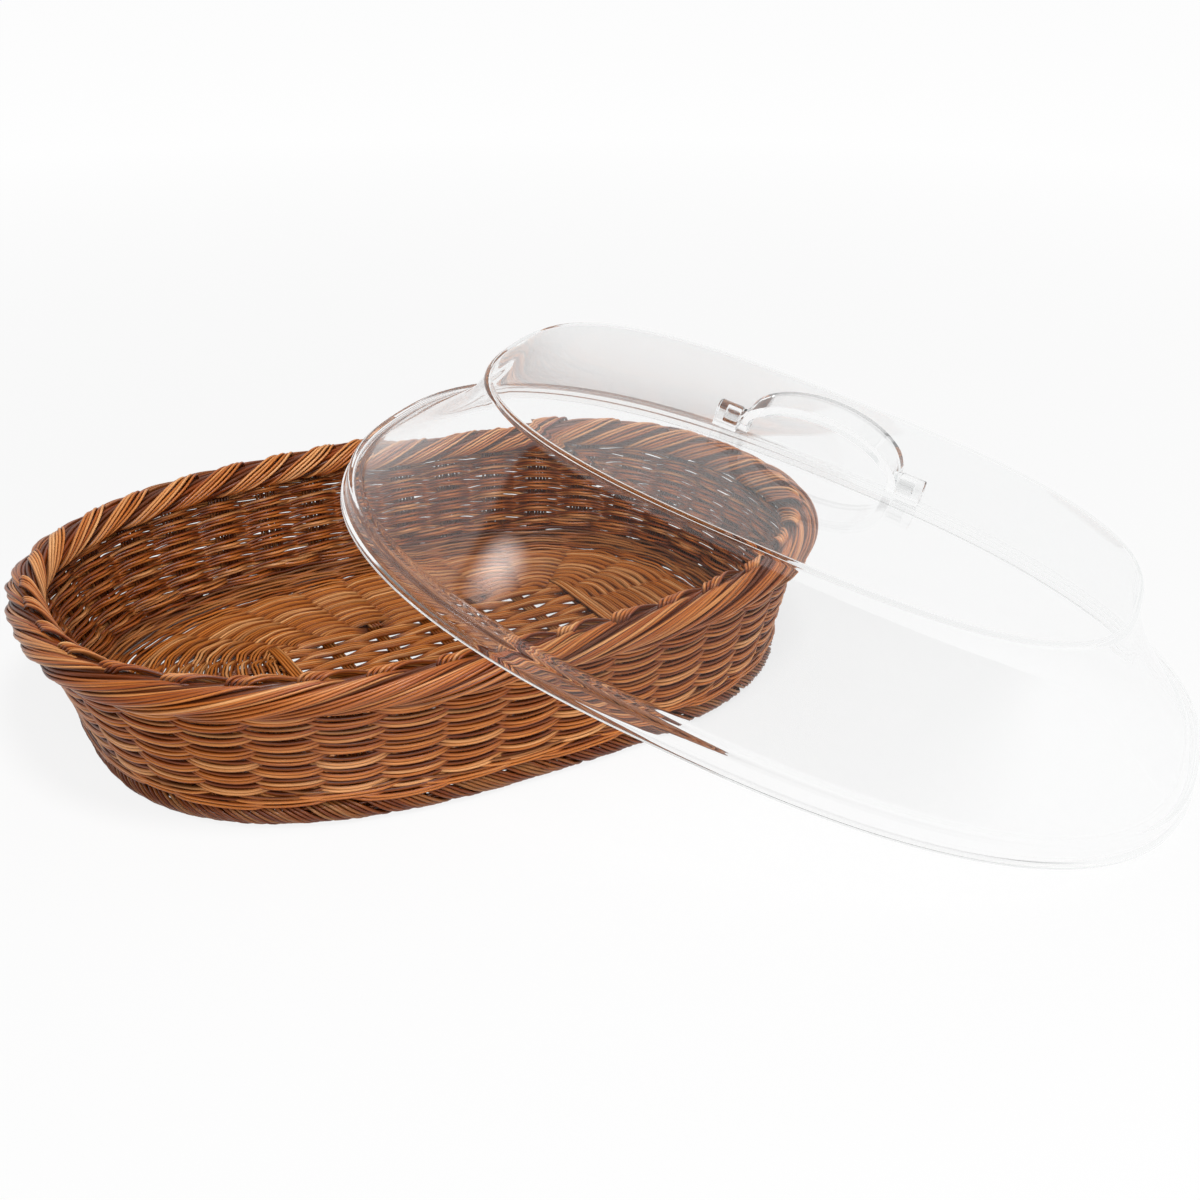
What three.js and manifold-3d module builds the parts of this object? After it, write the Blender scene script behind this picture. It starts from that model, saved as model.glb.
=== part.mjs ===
// A shallow oval bread basket, woven from round plastic strand, with its clear domed lid.
// The lid is off: its edge lies on the basket's rim in two places and its far end is on the table.
// Lengths are in millimetres and angles in degrees. X runs along the basket, Z is up, and the
// origin is on the table, under the middle of the basket.

import * as THREE from 'three';
import { mergeVertices } from 'three/addons/utils/BufferGeometryUtils.js';
import Module from 'manifold-3d';

// Basket. An outline's power says how square the oval is: 2 is an ellipse.
const BASKET_LENGTH = 400;
const BASKET_WIDTH = 286;
const BASKET_HEIGHT = 76;
const RIM_POWER = 2.4;
const RIM_ROLL = 18;
const FOOT_LENGTH = 351;
const FOOT_WIDTH = 255;
const FOOT_POWER = 2.64;
const FOOT_ROLL = 12;
const BASE_THICKNESS = 4;
const BASE_EDGE_BEVEL = 1.2;

// Weaving of the wall
const STAKE_COUNT = 38;
const STAKE_WIDTH = 6;
const STAKE_THICKNESS = 2;
const STAKE_GAP = 0.35;
const ROW_COUNT = 8;
const ROW_THICKNESS = 2;
const ROW_GAP = 0.6;
const ROW_FLAT_MARGIN = 1.2;

// Weaving of the base mat: rings round a core of lengthwise rows. Rings and rows come in pairs, the
// first over every second stick and the next over the sticks between them.
const BASE_RELIEF = 1.9;
const RING_PAIR_COUNT = 9;
const CORE_WIDTH = 96;
const CORE_POWER = 5;
const CORE_ROW_PAIR_COUNT = 7;
const CORE_STICK_COUNT = 7;
const CORE_ROOT = 1;

// A woven band where it lies over a stick, as shares of the distance from one row to the next: half
// its width, how far it bulges outwards, and the room left beside the first and the last row
const BAND_HALF_WIDTH = 0.62;
const BAND_BULGE = 0.3;
const BAND_MARGIN = 0.5;

// Crosswise stick groups on the base mat, at the two ends of its core
const STICK_WIDTH = 8;
const STICK_THICKNESS = 3;
const STICK_LENGTH = 100;
const LEFT_STICK_X = -70;
const RIGHT_STICK_X = 96;

// Lid. It drops over the rim with these clearances when it is closed.
const LID_END_CLEARANCE = 5.7;
const LID_SIDE_CLEARANCE = 0.7;
const LID_WALL = 2.5;
const LID_POWER = 2.43;
const LIP_HEIGHT = 3;
const LIP_STEP = 0.8;
const SKIRT_HEIGHT = 11.5;
const SKIRT_LEAN = 2;
const LEDGE_WIDTH = 6.4;
const LEDGE_ROUND = 1.5;
const WALL_LEAN = 46;
const WALL_CURVE = 1.6;
const SHOULDER_HEIGHT = 69.5;
const SHOULDER_RADIUS = 3;
const CROWN_RISE = 2;
const CROWN_POWER = 2.78;

// Where the lid leans: how far its middle lies inside the rim's two sides, and how it is turned
const LEAN_INSET_X = 79.6;
const LEAN_INSET_Y = 26.3;
const LEAN_YAW = -52.7;
const LEAN_HEIGHT_GUESS = 57;
const LEAN_PITCH_GUESS = 15.4;
const LEAN_ROLL_GUESS = 1.7;

// Handle and lugs
const HANDLE_SPAN = 76;
const HANDLE_RISE = 20.7;
const STRAP_WIDTH = 22;
const STRAP_THICKNESS = 4.2;
const STRAP_TAPER_HEIGHT = 10;
const EYE_DIAMETER = 10;
const PIN_DIAMETER = 5;
const PIN_LENGTH = 7;
const PIN_CLEARANCE = 0.3;
const PIN_HEIGHT = 5.7;
const LUG_DIAMETER = 11;
const LUG_LENGTH = 11.5;
const LUG_FOOT_WIDTH = 9;
const LUG_END_GAP = 0.4;

// Touching pieces stay this far apart
const SEAT_GAP = 0.3;

// Facets
const OUTLINE_POINTS = 76;
const ROLL_SIDES = 8;
const WALL_STEPS = 5;
const CROWN_STEPS = [0.7, 0.35];
const SHOULDER_STEPS = 2;
const SMALL_ROUND_SIDES = 20;
const ARCH_STEPS = 18;
const EYE_STEPS = 8;

// How far a cutting shape reaches past what it cuts
const CUT_OVERRUN = 1;

const FULL_TURN = 2 * Math.PI;
const UP = new THREE.Vector3(0, 0, 1);
const radians = THREE.MathUtils.degToRad;
const between = THREE.MathUtils.lerp;

const wasm = await Module();
wasm.setup();

// Materials

const strandBrown = new THREE.MeshStandardMaterial({ color: 0x9c6233, roughness: 0.55, metalness: 0 });
const strandTan = new THREE.MeshStandardMaterial({ color: 0xb07a45, roughness: 0.5, metalness: 0 });
const clearPlastic = new THREE.MeshStandardMaterial({
  color: 0xeef1f1,
  roughness: 0.06,
  metalness: 0,
  transparent: true,
  opacity: 0.3,
});

// Ovals

function signedPower(value, power) {
  return Math.sign(value) * Math.abs(value) ** power;
}

function ovalPoint(halfLength, halfWidth, power, angle, z) {
  const x = halfLength * signedPower(Math.cos(angle), 2 / power);
  const y = halfWidth * signedPower(Math.sin(angle), 2 / power);
  return new THREE.Vector3(x, y, z);
}

// The angle at each of a number of places spaced evenly along a closed curve, with places between
// them reached by adding a part of a step
function evenAngles(curvePoint, fineSteps = 2000) {
  const travelled = [0];
  let last = curvePoint(0);
  for (let i = 1; i <= fineSteps; i += 1) {
    const next = curvePoint((FULL_TURN * i) / fineSteps);
    travelled.push(travelled[i - 1] + next.distanceTo(last));
    last = next;
  }
  const total = travelled[fineSteps];
  return (share) => {
    const wanted = (((share % 1) + 1) % 1) * total;
    let i = travelled.findIndex((length) => length > wanted);
    i = i < 1 ? fineSteps : i;
    const part = (wanted - travelled[i - 1]) / (travelled[i] - travelled[i - 1]);
    return (FULL_TURN * (i - 1 + part)) / fineSteps;
  };
}

// Closed skins

function volumeOf(positions, indices) {
  const corner = (i) => new THREE.Vector3().fromArray(positions, 3 * indices[i]);
  let volume = 0;
  for (let i = 0; i < indices.length; i += 3) {
    volume += corner(i).dot(corner(i + 1).cross(corner(i + 2))) / 6;
  }
  return volume;
}

function bodyFrom(positions, indices) {
  if (volumeOf(positions, indices) < 0) {
    indices.reverse();
  }
  const geometry = new THREE.BufferGeometry();
  geometry.setAttribute('position', new THREE.Float32BufferAttribute(positions, 3));
  geometry.setIndex(indices);
  geometry.computeVertexNormals();
  return geometry;
}

// A skin over rings with equal numbers of points. Its last ring joins its first when it is a loop;
// otherwise each end closes on a point in the middle of its ring.
function skinOver(rings, isLoop) {
  const size = rings[0].length;
  const positions = rings.flat().flatMap((point) => point.toArray());
  const indices = [];
  const spans = isLoop ? rings.length : rings.length - 1;
  for (let i = 0; i < spans; i += 1) {
    const here = i * size;
    const there = ((i + 1) % rings.length) * size;
    for (let j = 0; j < size; j += 1) {
      const k = (j + 1) % size;
      indices.push(here + j, here + k, there + k, here + j, there + k, there + j);
    }
  }
  if (!isLoop) {
    const ends = [0, rings.length - 1];
    ends.forEach((end, side) => {
      const middle = rings[end].reduce((sum, point) => sum.add(point), new THREE.Vector3());
      middle.divideScalar(size);
      const tip = positions.length / 3;
      positions.push(...middle.toArray());
      for (let j = 0; j < size; j += 1) {
        const k = (j + 1) % size;
        const pair = side === 0 ? [end * size + k, end * size + j] : [end * size + j, end * size + k];
        indices.push(...pair, tip);
      }
    });
  }
  return bodyFrom(positions, indices);
}

// Solids, for joining and cutting

function solidOf(geometry) {
  const bare = geometry.clone();
  bare.deleteAttribute('normal');
  bare.deleteAttribute('uv');
  const merged = mergeVertices(bare, 1e-4);
  return new wasm.Manifold(
    new wasm.Mesh({
      numProp: 3,
      vertProperties: new Float32Array(merged.attributes.position.array),
      triVerts: new Uint32Array(merged.index.array),
    }),
  );
}

function geometryOf(solid) {
  const mesh = solid.getMesh();
  return bodyFrom(Array.from(mesh.vertProperties), Array.from(mesh.triVerts));
}

// The basket's wall: straight lines from the middle of the foot border to the middle of the rim

const footMiddleZ = FOOT_ROLL / 2;
const rimMiddleZ = BASKET_HEIGHT - RIM_ROLL / 2;

function footMiddle(angle) {
  const halfLength = (FOOT_LENGTH - FOOT_ROLL) / 2;
  const halfWidth = (FOOT_WIDTH - FOOT_ROLL) / 2;
  return ovalPoint(halfLength, halfWidth, FOOT_POWER, angle, footMiddleZ);
}

function rimMiddle(angle) {
  const halfLength = (BASKET_LENGTH - RIM_ROLL) / 2;
  const halfWidth = (BASKET_WIDTH - RIM_ROLL) / 2;
  return ovalPoint(halfLength, halfWidth, RIM_POWER, angle, rimMiddleZ);
}

function wallPoint(angle, z) {
  const share = (z - footMiddleZ) / (rimMiddleZ - footMiddleZ);
  return footMiddle(angle).lerp(rimMiddle(angle), share);
}

const wallMiddleZ = (footMiddleZ + rimMiddleZ) / 2;
const wallLength = outlineLength((angle) => wallPoint(angle, wallMiddleZ));
const wallAngle = evenAngles((angle) => wallPoint(angle, wallMiddleZ));

function outlineLength(curvePoint, count = 400) {
  const points = Array.from({ length: count }, (_, i) => curvePoint((FULL_TURN * i) / count));
  return points.reduce((sum, point, i) => sum + point.distanceTo(points[(i + 1) % count]), 0);
}

function wallOutward(angle) {
  const step = 0.01;
  const ahead = wallPoint(angle + step, wallMiddleZ);
  const along = ahead.sub(wallPoint(angle - step, wallMiddleZ)).normalize();
  return along.cross(UP).normalize();
}

// A rolled border along a curve. Its section has flats at the top, bottom and both sides, so that
// its height is exact.
function rolledBorder(curvePoint, thickness) {
  const angleAt = evenAngles(curvePoint);
  const reach = thickness / 2 / Math.cos(Math.PI / ROLL_SIDES);
  const rings = [];
  for (let i = 0; i < OUTLINE_POINTS; i += 1) {
    const angle = angleAt(i / OUTLINE_POINTS);
    const middle = curvePoint(angle);
    const outward = wallOutward(angle);
    const ring = [];
    for (let j = 0; j < ROLL_SIDES; j += 1) {
      const turn = (FULL_TURN * (j + 0.5)) / ROLL_SIDES;
      const point = middle.clone().addScaledVector(outward, reach * Math.cos(turn));
      ring.push(point.addScaledVector(UP, reach * Math.sin(turn)));
    }
    rings.push(ring);
  }
  return skinOver(rings, true);
}

const weaveBottom = FOOT_ROLL + SEAT_GAP;
const weaveTop = BASKET_HEIGHT - RIM_ROLL - SEAT_GAP;

// A stake stands on the foot border and ends under the rim, whose strands it runs on into.
function stake(number) {
  const angle = wallAngle(number / STAKE_COUNT);
  const outward = wallOutward(angle).multiplyScalar(STAKE_THICKNESS / 2);
  const sideways = new THREE.Vector3().crossVectors(UP, outward).setLength(STAKE_WIDTH / 2);
  const rings = [weaveBottom, weaveTop].map((z) => {
    const middle = wallPoint(angle, z);
    return [[1, 1], [-1, 1], [-1, -1], [1, -1]].map(([out, side]) => {
      return middle.clone().addScaledVector(outward, out).addScaledVector(sideways, side);
    });
  });
  return skinOver(rings, false);
}

// A row of weaving lies flat along each stake, in front of one and behind the next.
const rowPitch = (weaveTop - weaveBottom) / ROW_COUNT;
const rowReach = STAKE_THICKNESS / 2 + STAKE_GAP + ROW_THICKNESS / 2;
const rowFlatShare = (STAKE_WIDTH / 2 + ROW_FLAT_MARGIN) / wallLength;

function weftRow(row) {
  const low = weaveBottom + row * rowPitch + ROW_GAP / 2;
  const high = low + rowPitch - ROW_GAP;
  const rings = [];
  for (let i = 0; i < STAKE_COUNT; i += 1) {
    const side = (i + row) % 2 === 0 ? 1 : -1;
    for (const edge of [-rowFlatShare, rowFlatShare]) {
      const angle = wallAngle(i / STAKE_COUNT + edge);
      const outward = wallOutward(angle);
      const outer = side * rowReach + ROW_THICKNESS / 2;
      const inner = side * rowReach - ROW_THICKNESS / 2;
      rings.push([[low, outer], [high, outer], [high, inner], [low, inner]].map(([z, reach]) => {
        return wallPoint(angle, z).addScaledVector(outward, reach);
      }));
    }
  }
  return skinOver(rings, true);
}

// Base mat, inside the foot border and flush with its underside. Its lines of relief are numbered
// from the core outwards, and its places are counted in half sticks, so that even ones are on a
// stick and odd ones between two.

// A pair of rows has three lines. Each is given where the first row lies over the stick and where
// the second does, as how far across the pair it is and whether it is raised.
const pairLines = [
  [[0.5 - BAND_HALF_WIDTH, 1], [0.5, 0]],
  [[0.5 + BAND_HALF_WIDTH, 1], [1.5 - BAND_HALF_WIDTH, 1]],
  [[1.5, 0], [1.5 + BAND_HALF_WIDTH, 1]],
];

// One line of relief at a place, as its share of the way across all rows and its height
function reliefAt(pairCount, line, place) {
  const [first, second] = pairLines[line % pairLines.length];
  let [at, raised] = (place / 2) % 2 === 0 ? first : second;
  if (place % 2 === 1) {
    at = (first[0] + second[0]) / 2 - BAND_BULGE;
    raised = 0;
  }
  const across = 2 * Math.floor(line / pairLines.length) + at + BAND_MARGIN;
  return [across / (2 * pairCount + 2 * BAND_MARGIN), BASE_THICKNESS + raised * BASE_RELIEF];
}

const coreMiddleX = (LEFT_STICK_X + RIGHT_STICK_X) / 2;

function coreEdge(angle) {
  const halfLength = (RIGHT_STICK_X - LEFT_STICK_X) / 2;
  const point = ovalPoint(halfLength, CORE_WIDTH / 2, CORE_POWER, angle, BASE_THICKNESS);
  point.x += coreMiddleX;
  return point;
}

function matEdge(angle, bevel, z) {
  const inset = FOOT_ROLL + SEAT_GAP + bevel;
  return ovalPoint(FOOT_LENGTH / 2 - inset, FOOT_WIDTH / 2 - inset, FOOT_POWER, angle, z);
}

// The whole mat with the rings of its weaving, flat in the core
function wovenRings() {
  const placeCount = 2 * STAKE_COUNT;
  const ringOf = (pointAt) => Array.from({ length: placeCount }, (_, place) => {
    return pointAt(wallAngle(place / placeCount), place);
  });
  const rings = [
    ringOf((angle) => matEdge(angle, 0, 0)),
    ringOf((angle) => matEdge(angle, 0, BASE_THICKNESS - BASE_EDGE_BEVEL)),
    ringOf((angle) => matEdge(angle, BASE_EDGE_BEVEL, BASE_THICKNESS)),
  ];
  for (let line = pairLines.length * RING_PAIR_COUNT - 1; line >= 0; line -= 1) {
    rings.push(ringOf((angle, place) => {
      const [share, height] = reliefAt(RING_PAIR_COUNT, line, place);
      const outer = matEdge(angle, BASE_EDGE_BEVEL, BASE_THICKNESS);
      return coreEdge(angle).lerp(outer, share).setZ(height);
    }));
  }
  rings.push(ringOf(coreEdge));
  return skinOver(rings, false);
}

// The lengthwise rows of the core, which run from one crosswise stick group to the other
function wovenCore() {
  const lastPlace = 2 * (CORE_STICK_COUNT - 1);
  const lineCount = pairLines.length * CORE_ROW_PAIR_COUNT;
  const rings = [];
  for (let place = 0; place <= lastPlace; place += 1) {
    const x = between(LEFT_STICK_X, RIGHT_STICK_X, place / lastPlace);
    const isEnd = place === 0 || place === lastPlace;
    const ring = Array.from({ length: lineCount }, (_, line) => {
      const [share, height] = reliefAt(CORE_ROW_PAIR_COUNT, line, place);
      return new THREE.Vector3(x, CORE_WIDTH * (share - 0.5), isEnd ? BASE_THICKNESS : height);
    });
    ring.unshift(new THREE.Vector3(x, -CORE_WIDTH / 2, CORE_ROOT));
    ring.push(new THREE.Vector3(x, CORE_WIDTH / 2, CORE_ROOT));
    rings.push(ring);
  }
  return skinOver(rings, false);
}

function baseMat() {
  let mat = solidOf(wovenRings()).add(solidOf(wovenCore()));
  for (const x of [LEFT_STICK_X, RIGHT_STICK_X]) {
    const width = STICK_WIDTH + 2 * SEAT_GAP;
    const length = STICK_LENGTH + 2 * SEAT_GAP;
    const seat = new THREE.BoxGeometry(width, length, STICK_THICKNESS);
    seat.translate(x, 0, BASE_THICKNESS + STICK_THICKNESS / 2);
    mat = mat.subtract(solidOf(seat));
  }
  return geometryOf(mat);
}

// A group of strands side by side, rounded over the top
function baseStick() {
  const section = new THREE.Shape();
  section.moveTo(-STICK_WIDTH / 2, 0);
  section.lineTo(STICK_WIDTH / 2, 0);
  section.quadraticCurveTo(STICK_WIDTH / 2, STICK_THICKNESS, 0, STICK_THICKNESS);
  section.quadraticCurveTo(-STICK_WIDTH / 2, STICK_THICKNESS, -STICK_WIDTH / 2, 0);
  const settings = { depth: STICK_LENGTH, bevelEnabled: false, curveSegments: 4 };
  const geometry = new THREE.ExtrudeGeometry(section, settings);
  geometry.translate(0, 0, -STICK_LENGTH / 2);
  geometry.rotateX(Math.PI / 2);
  return geometry;
}

// Lid. Its own frame has the origin in the middle of its open underside, X along it and Z up
// through its crown. The profile is a list of points, each with how far it lies inside the lip
// and how high it is above the open underside.

const lidHalfLength = BASKET_LENGTH / 2 + LID_END_CLEARANCE + LID_WALL + LIP_STEP;
const lidHalfWidth = BASKET_WIDTH / 2 + LID_SIDE_CLEARANCE + LID_WALL + LIP_STEP;
const wallFootInset = SKIRT_LEAN + LEDGE_WIDTH;
const shoulderInset = wallFootInset + WALL_LEAN;
const crownInset = shoulderInset + SHOULDER_RADIUS;
const crownEdgeHeight = SHOULDER_HEIGHT + SHOULDER_RADIUS;
const crownHeight = crownEdgeHeight + CROWN_RISE;

function lidProfile() {
  const points = [
    [LIP_STEP, 0],
    [LIP_STEP, LIP_HEIGHT + LIP_STEP],
    [SKIRT_LEAN, SKIRT_HEIGHT - LEDGE_ROUND],
    [SKIRT_LEAN + LEDGE_ROUND, SKIRT_HEIGHT],
  ];
  for (let i = 0; i < WALL_STEPS; i += 1) {
    const share = i / WALL_STEPS;
    const lean = 1 - (1 - share) ** WALL_CURVE;
    points.push([wallFootInset + lean * WALL_LEAN, between(SKIRT_HEIGHT, SHOULDER_HEIGHT, share)]);
  }
  for (let i = 0; i <= SHOULDER_STEPS; i += 1) {
    const turn = (Math.PI / 2) * (i / SHOULDER_STEPS);
    points.push([
      crownInset - SHOULDER_RADIUS * Math.cos(turn),
      SHOULDER_HEIGHT + SHOULDER_RADIUS * Math.sin(turn),
    ]);
  }
  return points.map(([inset, height]) => new THREE.Vector2(inset, height));
}

// The same profile on the inside of the wall
function insideOf(profile) {
  return profile.map((point, i) => {
    const before = profile[Math.max(i - 1, 0)];
    const after = profile[Math.min(i + 1, profile.length - 1)];
    const into = (a, b) => new THREE.Vector2(b.y - a.y, a.x - b.x).normalize();
    const first = i === 0 ? into(point, after) : into(before, point);
    const second = i === profile.length - 1 ? new THREE.Vector2(0, -1) : into(point, after);
    const mitre = first.clone().add(second).normalize();
    return point.clone().addScaledVector(mitre, LID_WALL / mitre.dot(first));
  });
}

function lidRing({ x: inset, y: height }, scale = 1) {
  const power = between(LID_POWER, CROWN_POWER, Math.min(inset / crownInset, 1));
  const halfLength = (lidHalfLength - inset) * scale;
  const halfWidth = (lidHalfWidth - inset) * scale;
  return Array.from({ length: OUTLINE_POINTS }, (_, i) => {
    return ovalPoint(halfLength, halfWidth, power, (FULL_TURN * i) / OUTLINE_POINTS, height);
  });
}

// Height of the crown's upper surface where its outline is scaled down by this much
function crownSurface(scale) {
  return crownEdgeHeight + CROWN_RISE * (1 - scale ** 2);
}

function crownRings(edge, drop) {
  return CROWN_STEPS.map((scale) => {
    return lidRing(new THREE.Vector2(edge.x, crownSurface(scale) - drop), scale);
  });
}

const lidOutside = lidProfile();
const lidInside = insideOf(lidOutside);

function lidLowerRings() {
  const lip = [new THREE.Vector2(0, 0), new THREE.Vector2(0, LIP_HEIGHT)];
  return {
    lip: lip.map((point) => lidRing(point)),
    outside: lidOutside.slice(1).map((point) => lidRing(point)),
    inside: lidInside.map((point) => lidRing(point)),
  };
}

function lidShell() {
  const { lip, outside, inside } = lidLowerRings();
  const topOutside = crownRings(lidOutside.at(-1), 0);
  const topInside = crownRings(lidInside.at(-1), LID_WALL);
  const down = [...topOutside].reverse().concat([...outside].reverse(), [...lip].reverse());
  return skinOver([...down, ...inside, ...topInside], false);
}

// Leaning. Height, pitch and roll are found so that the lid's edge lies on the rim in front and at
// the right, and its lowest point on the table.

function leanMatrix([height, pitch, roll]) {
  const turn = new THREE.Euler(radians(roll), radians(pitch), radians(LEAN_YAW), 'ZYX');
  const x = BASKET_LENGTH / 2 - LEAN_INSET_X;
  const y = LEAN_INSET_Y - BASKET_WIDTH / 2;
  return new THREE.Matrix4().makeRotationFromEuler(turn).setPosition(x, y, height);
}

// Points along the lid's lower rings, with each facet's edge split so that none is missed
function lidContactPoints() {
  const { lip, outside, inside } = lidLowerRings();
  const rings = [...lip, ...outside.slice(0, 3), ...inside.slice(0, 6)];
  const parts = [0, 0.25, 0.5, 0.75];
  return rings.flatMap((ring) => {
    return ring.flatMap((point, i) => {
      const next = ring[(i + 1) % ring.length];
      return parts.map((part) => point.clone().lerp(next, part));
    });
  });
}

function rimLine() {
  const angleAt = evenAngles(rimMiddle);
  return Array.from({ length: OUTLINE_POINTS }, (_, i) => rimMiddle(angleAt(i / OUTLINE_POINTS)));
}

function distanceToLine(point, line) {
  const nearest = new THREE.Vector3();
  const edge = new THREE.Line3();
  let least = Infinity;
  line.forEach((start, i) => {
    edge.set(start, line[(i + 1) % line.length]);
    edge.closestPointToPoint(point, true, nearest);
    least = Math.min(least, nearest.distanceToSquared(point));
  });
  return Math.sqrt(least);
}

function leanGaps(pose, contactPoints, line) {
  const matrix = leanMatrix(pose);
  const rimReach = RIM_ROLL / 2 / Math.cos(Math.PI / ROLL_SIDES);
  const gaps = [Infinity, Infinity, Infinity];
  for (const point of contactPoints) {
    const placed = point.clone().applyMatrix4(matrix);
    gaps[2] = Math.min(gaps[2], placed.z);
    if (Math.abs(placed.z - rimMiddleZ) < RIM_ROLL) {
      const side = point.y > 0 ? 0 : 1;
      gaps[side] = Math.min(gaps[side], distanceToLine(placed, line) - rimReach);
    }
  }
  return gaps.map((gap) => gap - SEAT_GAP);
}

function leaningPose(rounds = 14) {
  const contactPoints = lidContactPoints();
  const line = rimLine();
  const nudges = [0.05, 0.02, 0.02];
  const largestSteps = [6, 2, 2];
  let pose = [LEAN_HEIGHT_GUESS, LEAN_PITCH_GUESS, LEAN_ROLL_GUESS];
  for (let round = 0; round < rounds; round += 1) {
    const gaps = leanGaps(pose, contactPoints, line);
    const columns = nudges.map((nudge, i) => {
      const moved = pose.map((value, j) => (i === j ? value + nudge : value));
      const movedGaps = leanGaps(moved, contactPoints, line);
      return movedGaps.map((gap, j) => (gap - gaps[j]) / nudge);
    });
    const slopes = new THREE.Matrix3().set(...[0, 1, 2].flatMap((j) => columns.map((c) => c[j])));
    const steps = new THREE.Vector3(...gaps).applyMatrix3(slopes.invert()).toArray();
    pose = pose.map((value, i) => {
      return value - THREE.MathUtils.clamp(steps[i], -largestSteps[i], largestSteps[i]);
    });
  }
  return pose;
}

// Handle. Its frame has the origin in the middle of its pins' axis, X along the pins, Z up.

const pinAxisHeight = crownHeight + PIN_HEIGHT;

function archOutline() {
  const half = HANDLE_SPAN / 2;
  const innerHalf = half - STRAP_THICKNESS;
  const legEnd = -EYE_DIAMETER / 2;
  const outline = new THREE.Shape();
  outline.moveTo(half, legEnd);
  outline.lineTo(half, 0);
  outline.absellipse(0, 0, half, HANDLE_RISE, 0, Math.PI, false);
  outline.lineTo(-half, legEnd);
  outline.lineTo(-innerHalf, legEnd);
  outline.lineTo(-innerHalf, 0);
  outline.absellipse(0, 0, innerHalf, HANDLE_RISE - STRAP_THICKNESS, Math.PI, 0, true);
  outline.lineTo(innerHalf, legEnd);
  outline.closePath();
  return outline;
}

// The strap from its end: a round eye at each pin, widening to the full strap
function strapOutline() {
  const outline = new THREE.Shape();
  outline.absarc(0, 0, EYE_DIAMETER / 2, Math.PI, FULL_TURN, false);
  outline.lineTo(STRAP_WIDTH / 2, STRAP_TAPER_HEIGHT);
  outline.lineTo(STRAP_WIDTH / 2, HANDLE_RISE + CUT_OVERRUN);
  outline.lineTo(-STRAP_WIDTH / 2, HANDLE_RISE + CUT_OVERRUN);
  outline.lineTo(-STRAP_WIDTH / 2, STRAP_TAPER_HEIGHT);
  outline.closePath();
  return outline;
}

function alongX(radius, length) {
  const geometry = new THREE.CylinderGeometry(radius, radius, length, SMALL_ROUND_SIDES);
  geometry.rotateZ(-Math.PI / 2);
  geometry.translate(length / 2, 0, 0);
  return geometry;
}

function handleBow() {
  const archSettings = { depth: STRAP_WIDTH, bevelEnabled: false, curveSegments: ARCH_STEPS };
  const arch = new THREE.ExtrudeGeometry(archOutline(), archSettings);
  arch.translate(0, 0, -STRAP_WIDTH / 2);
  arch.rotateX(Math.PI / 2);
  const strapLength = HANDLE_SPAN + 2 * CUT_OVERRUN;
  const strapSettings = { depth: strapLength, bevelEnabled: false, curveSegments: EYE_STEPS };
  const strap = new THREE.ExtrudeGeometry(strapOutline(), strapSettings);
  strap.translate(0, 0, -strapLength / 2);
  strap.applyMatrix4(new THREE.Matrix4().makeBasis(
    new THREE.Vector3(0, 1, 0),
    new THREE.Vector3(0, 0, 1),
    new THREE.Vector3(1, 0, 0),
  ));
  let bow = solidOf(arch).intersect(solidOf(strap));
  for (const side of [1, -1]) {
    const pin = alongX(PIN_DIAMETER / 2, PIN_LENGTH + STRAP_THICKNESS / 2);
    pin.translate(HANDLE_SPAN / 2 - STRAP_THICKNESS / 2, 0, 0);
    if (side < 0) {
      pin.rotateZ(Math.PI);
    }
    bow = bow.add(solidOf(pin));
  }
  return geometryOf(bow);
}

// The lug at the right end of the handle: a barrel with a blind bore, on a foot that sits on the
// crown. It is modelled in the handle's frame, and the left one is the same, turned round.
function lug() {
  const inner = HANDLE_SPAN / 2 + LUG_END_GAP;
  const barrel = alongX(LUG_DIAMETER / 2, LUG_LENGTH);
  barrel.translate(inner, 0, 0);
  const crownHalfLength = lidHalfLength - crownInset;
  const seat = crownSurface(inner / crownHalfLength) + SEAT_GAP - pinAxisHeight;
  const foot = new THREE.BoxGeometry(LUG_LENGTH, LUG_FOOT_WIDTH, -seat);
  foot.translate(inner + LUG_LENGTH / 2, 0, seat / 2);
  const bore = alongX(PIN_DIAMETER / 2 + PIN_CLEARANCE, PIN_LENGTH + 2 * PIN_CLEARANCE);
  bore.translate(inner - 2 * PIN_CLEARANCE, 0, 0);
  return geometryOf(solidOf(barrel).add(solidOf(foot)).subtract(solidOf(bore)));
}

// Assembly

const basketWithLid = new THREE.Group();
const basket = new THREE.Group();
const lid = new THREE.Group();
const handle = new THREE.Group();

function place(parent, name, geometry, material) {
  const mesh = new THREE.Mesh(geometry, material);
  mesh.name = name;
  parent.add(mesh);
  return mesh;
}

place(basket, 'base_mat', baseMat(), strandTan);
for (const [name, x] of [['base_stick_left', LEFT_STICK_X], ['base_stick_right', RIGHT_STICK_X]]) {
  place(basket, name, baseStick(), strandTan).position.set(x, 0, BASE_THICKNESS + SEAT_GAP);
}
place(basket, 'foot_border', rolledBorder(footMiddle, FOOT_ROLL), strandBrown);
place(basket, 'rim', rolledBorder(rimMiddle, RIM_ROLL), strandBrown);
for (let number = 0; number < STAKE_COUNT; number += 1) {
  place(basket, `stake_${number + 1}`, stake(number), strandBrown);
}
for (let row = 0; row < ROW_COUNT; row += 1) {
  place(basket, `weft_row_${row + 1}`, weftRow(row), strandTan);
}

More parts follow.
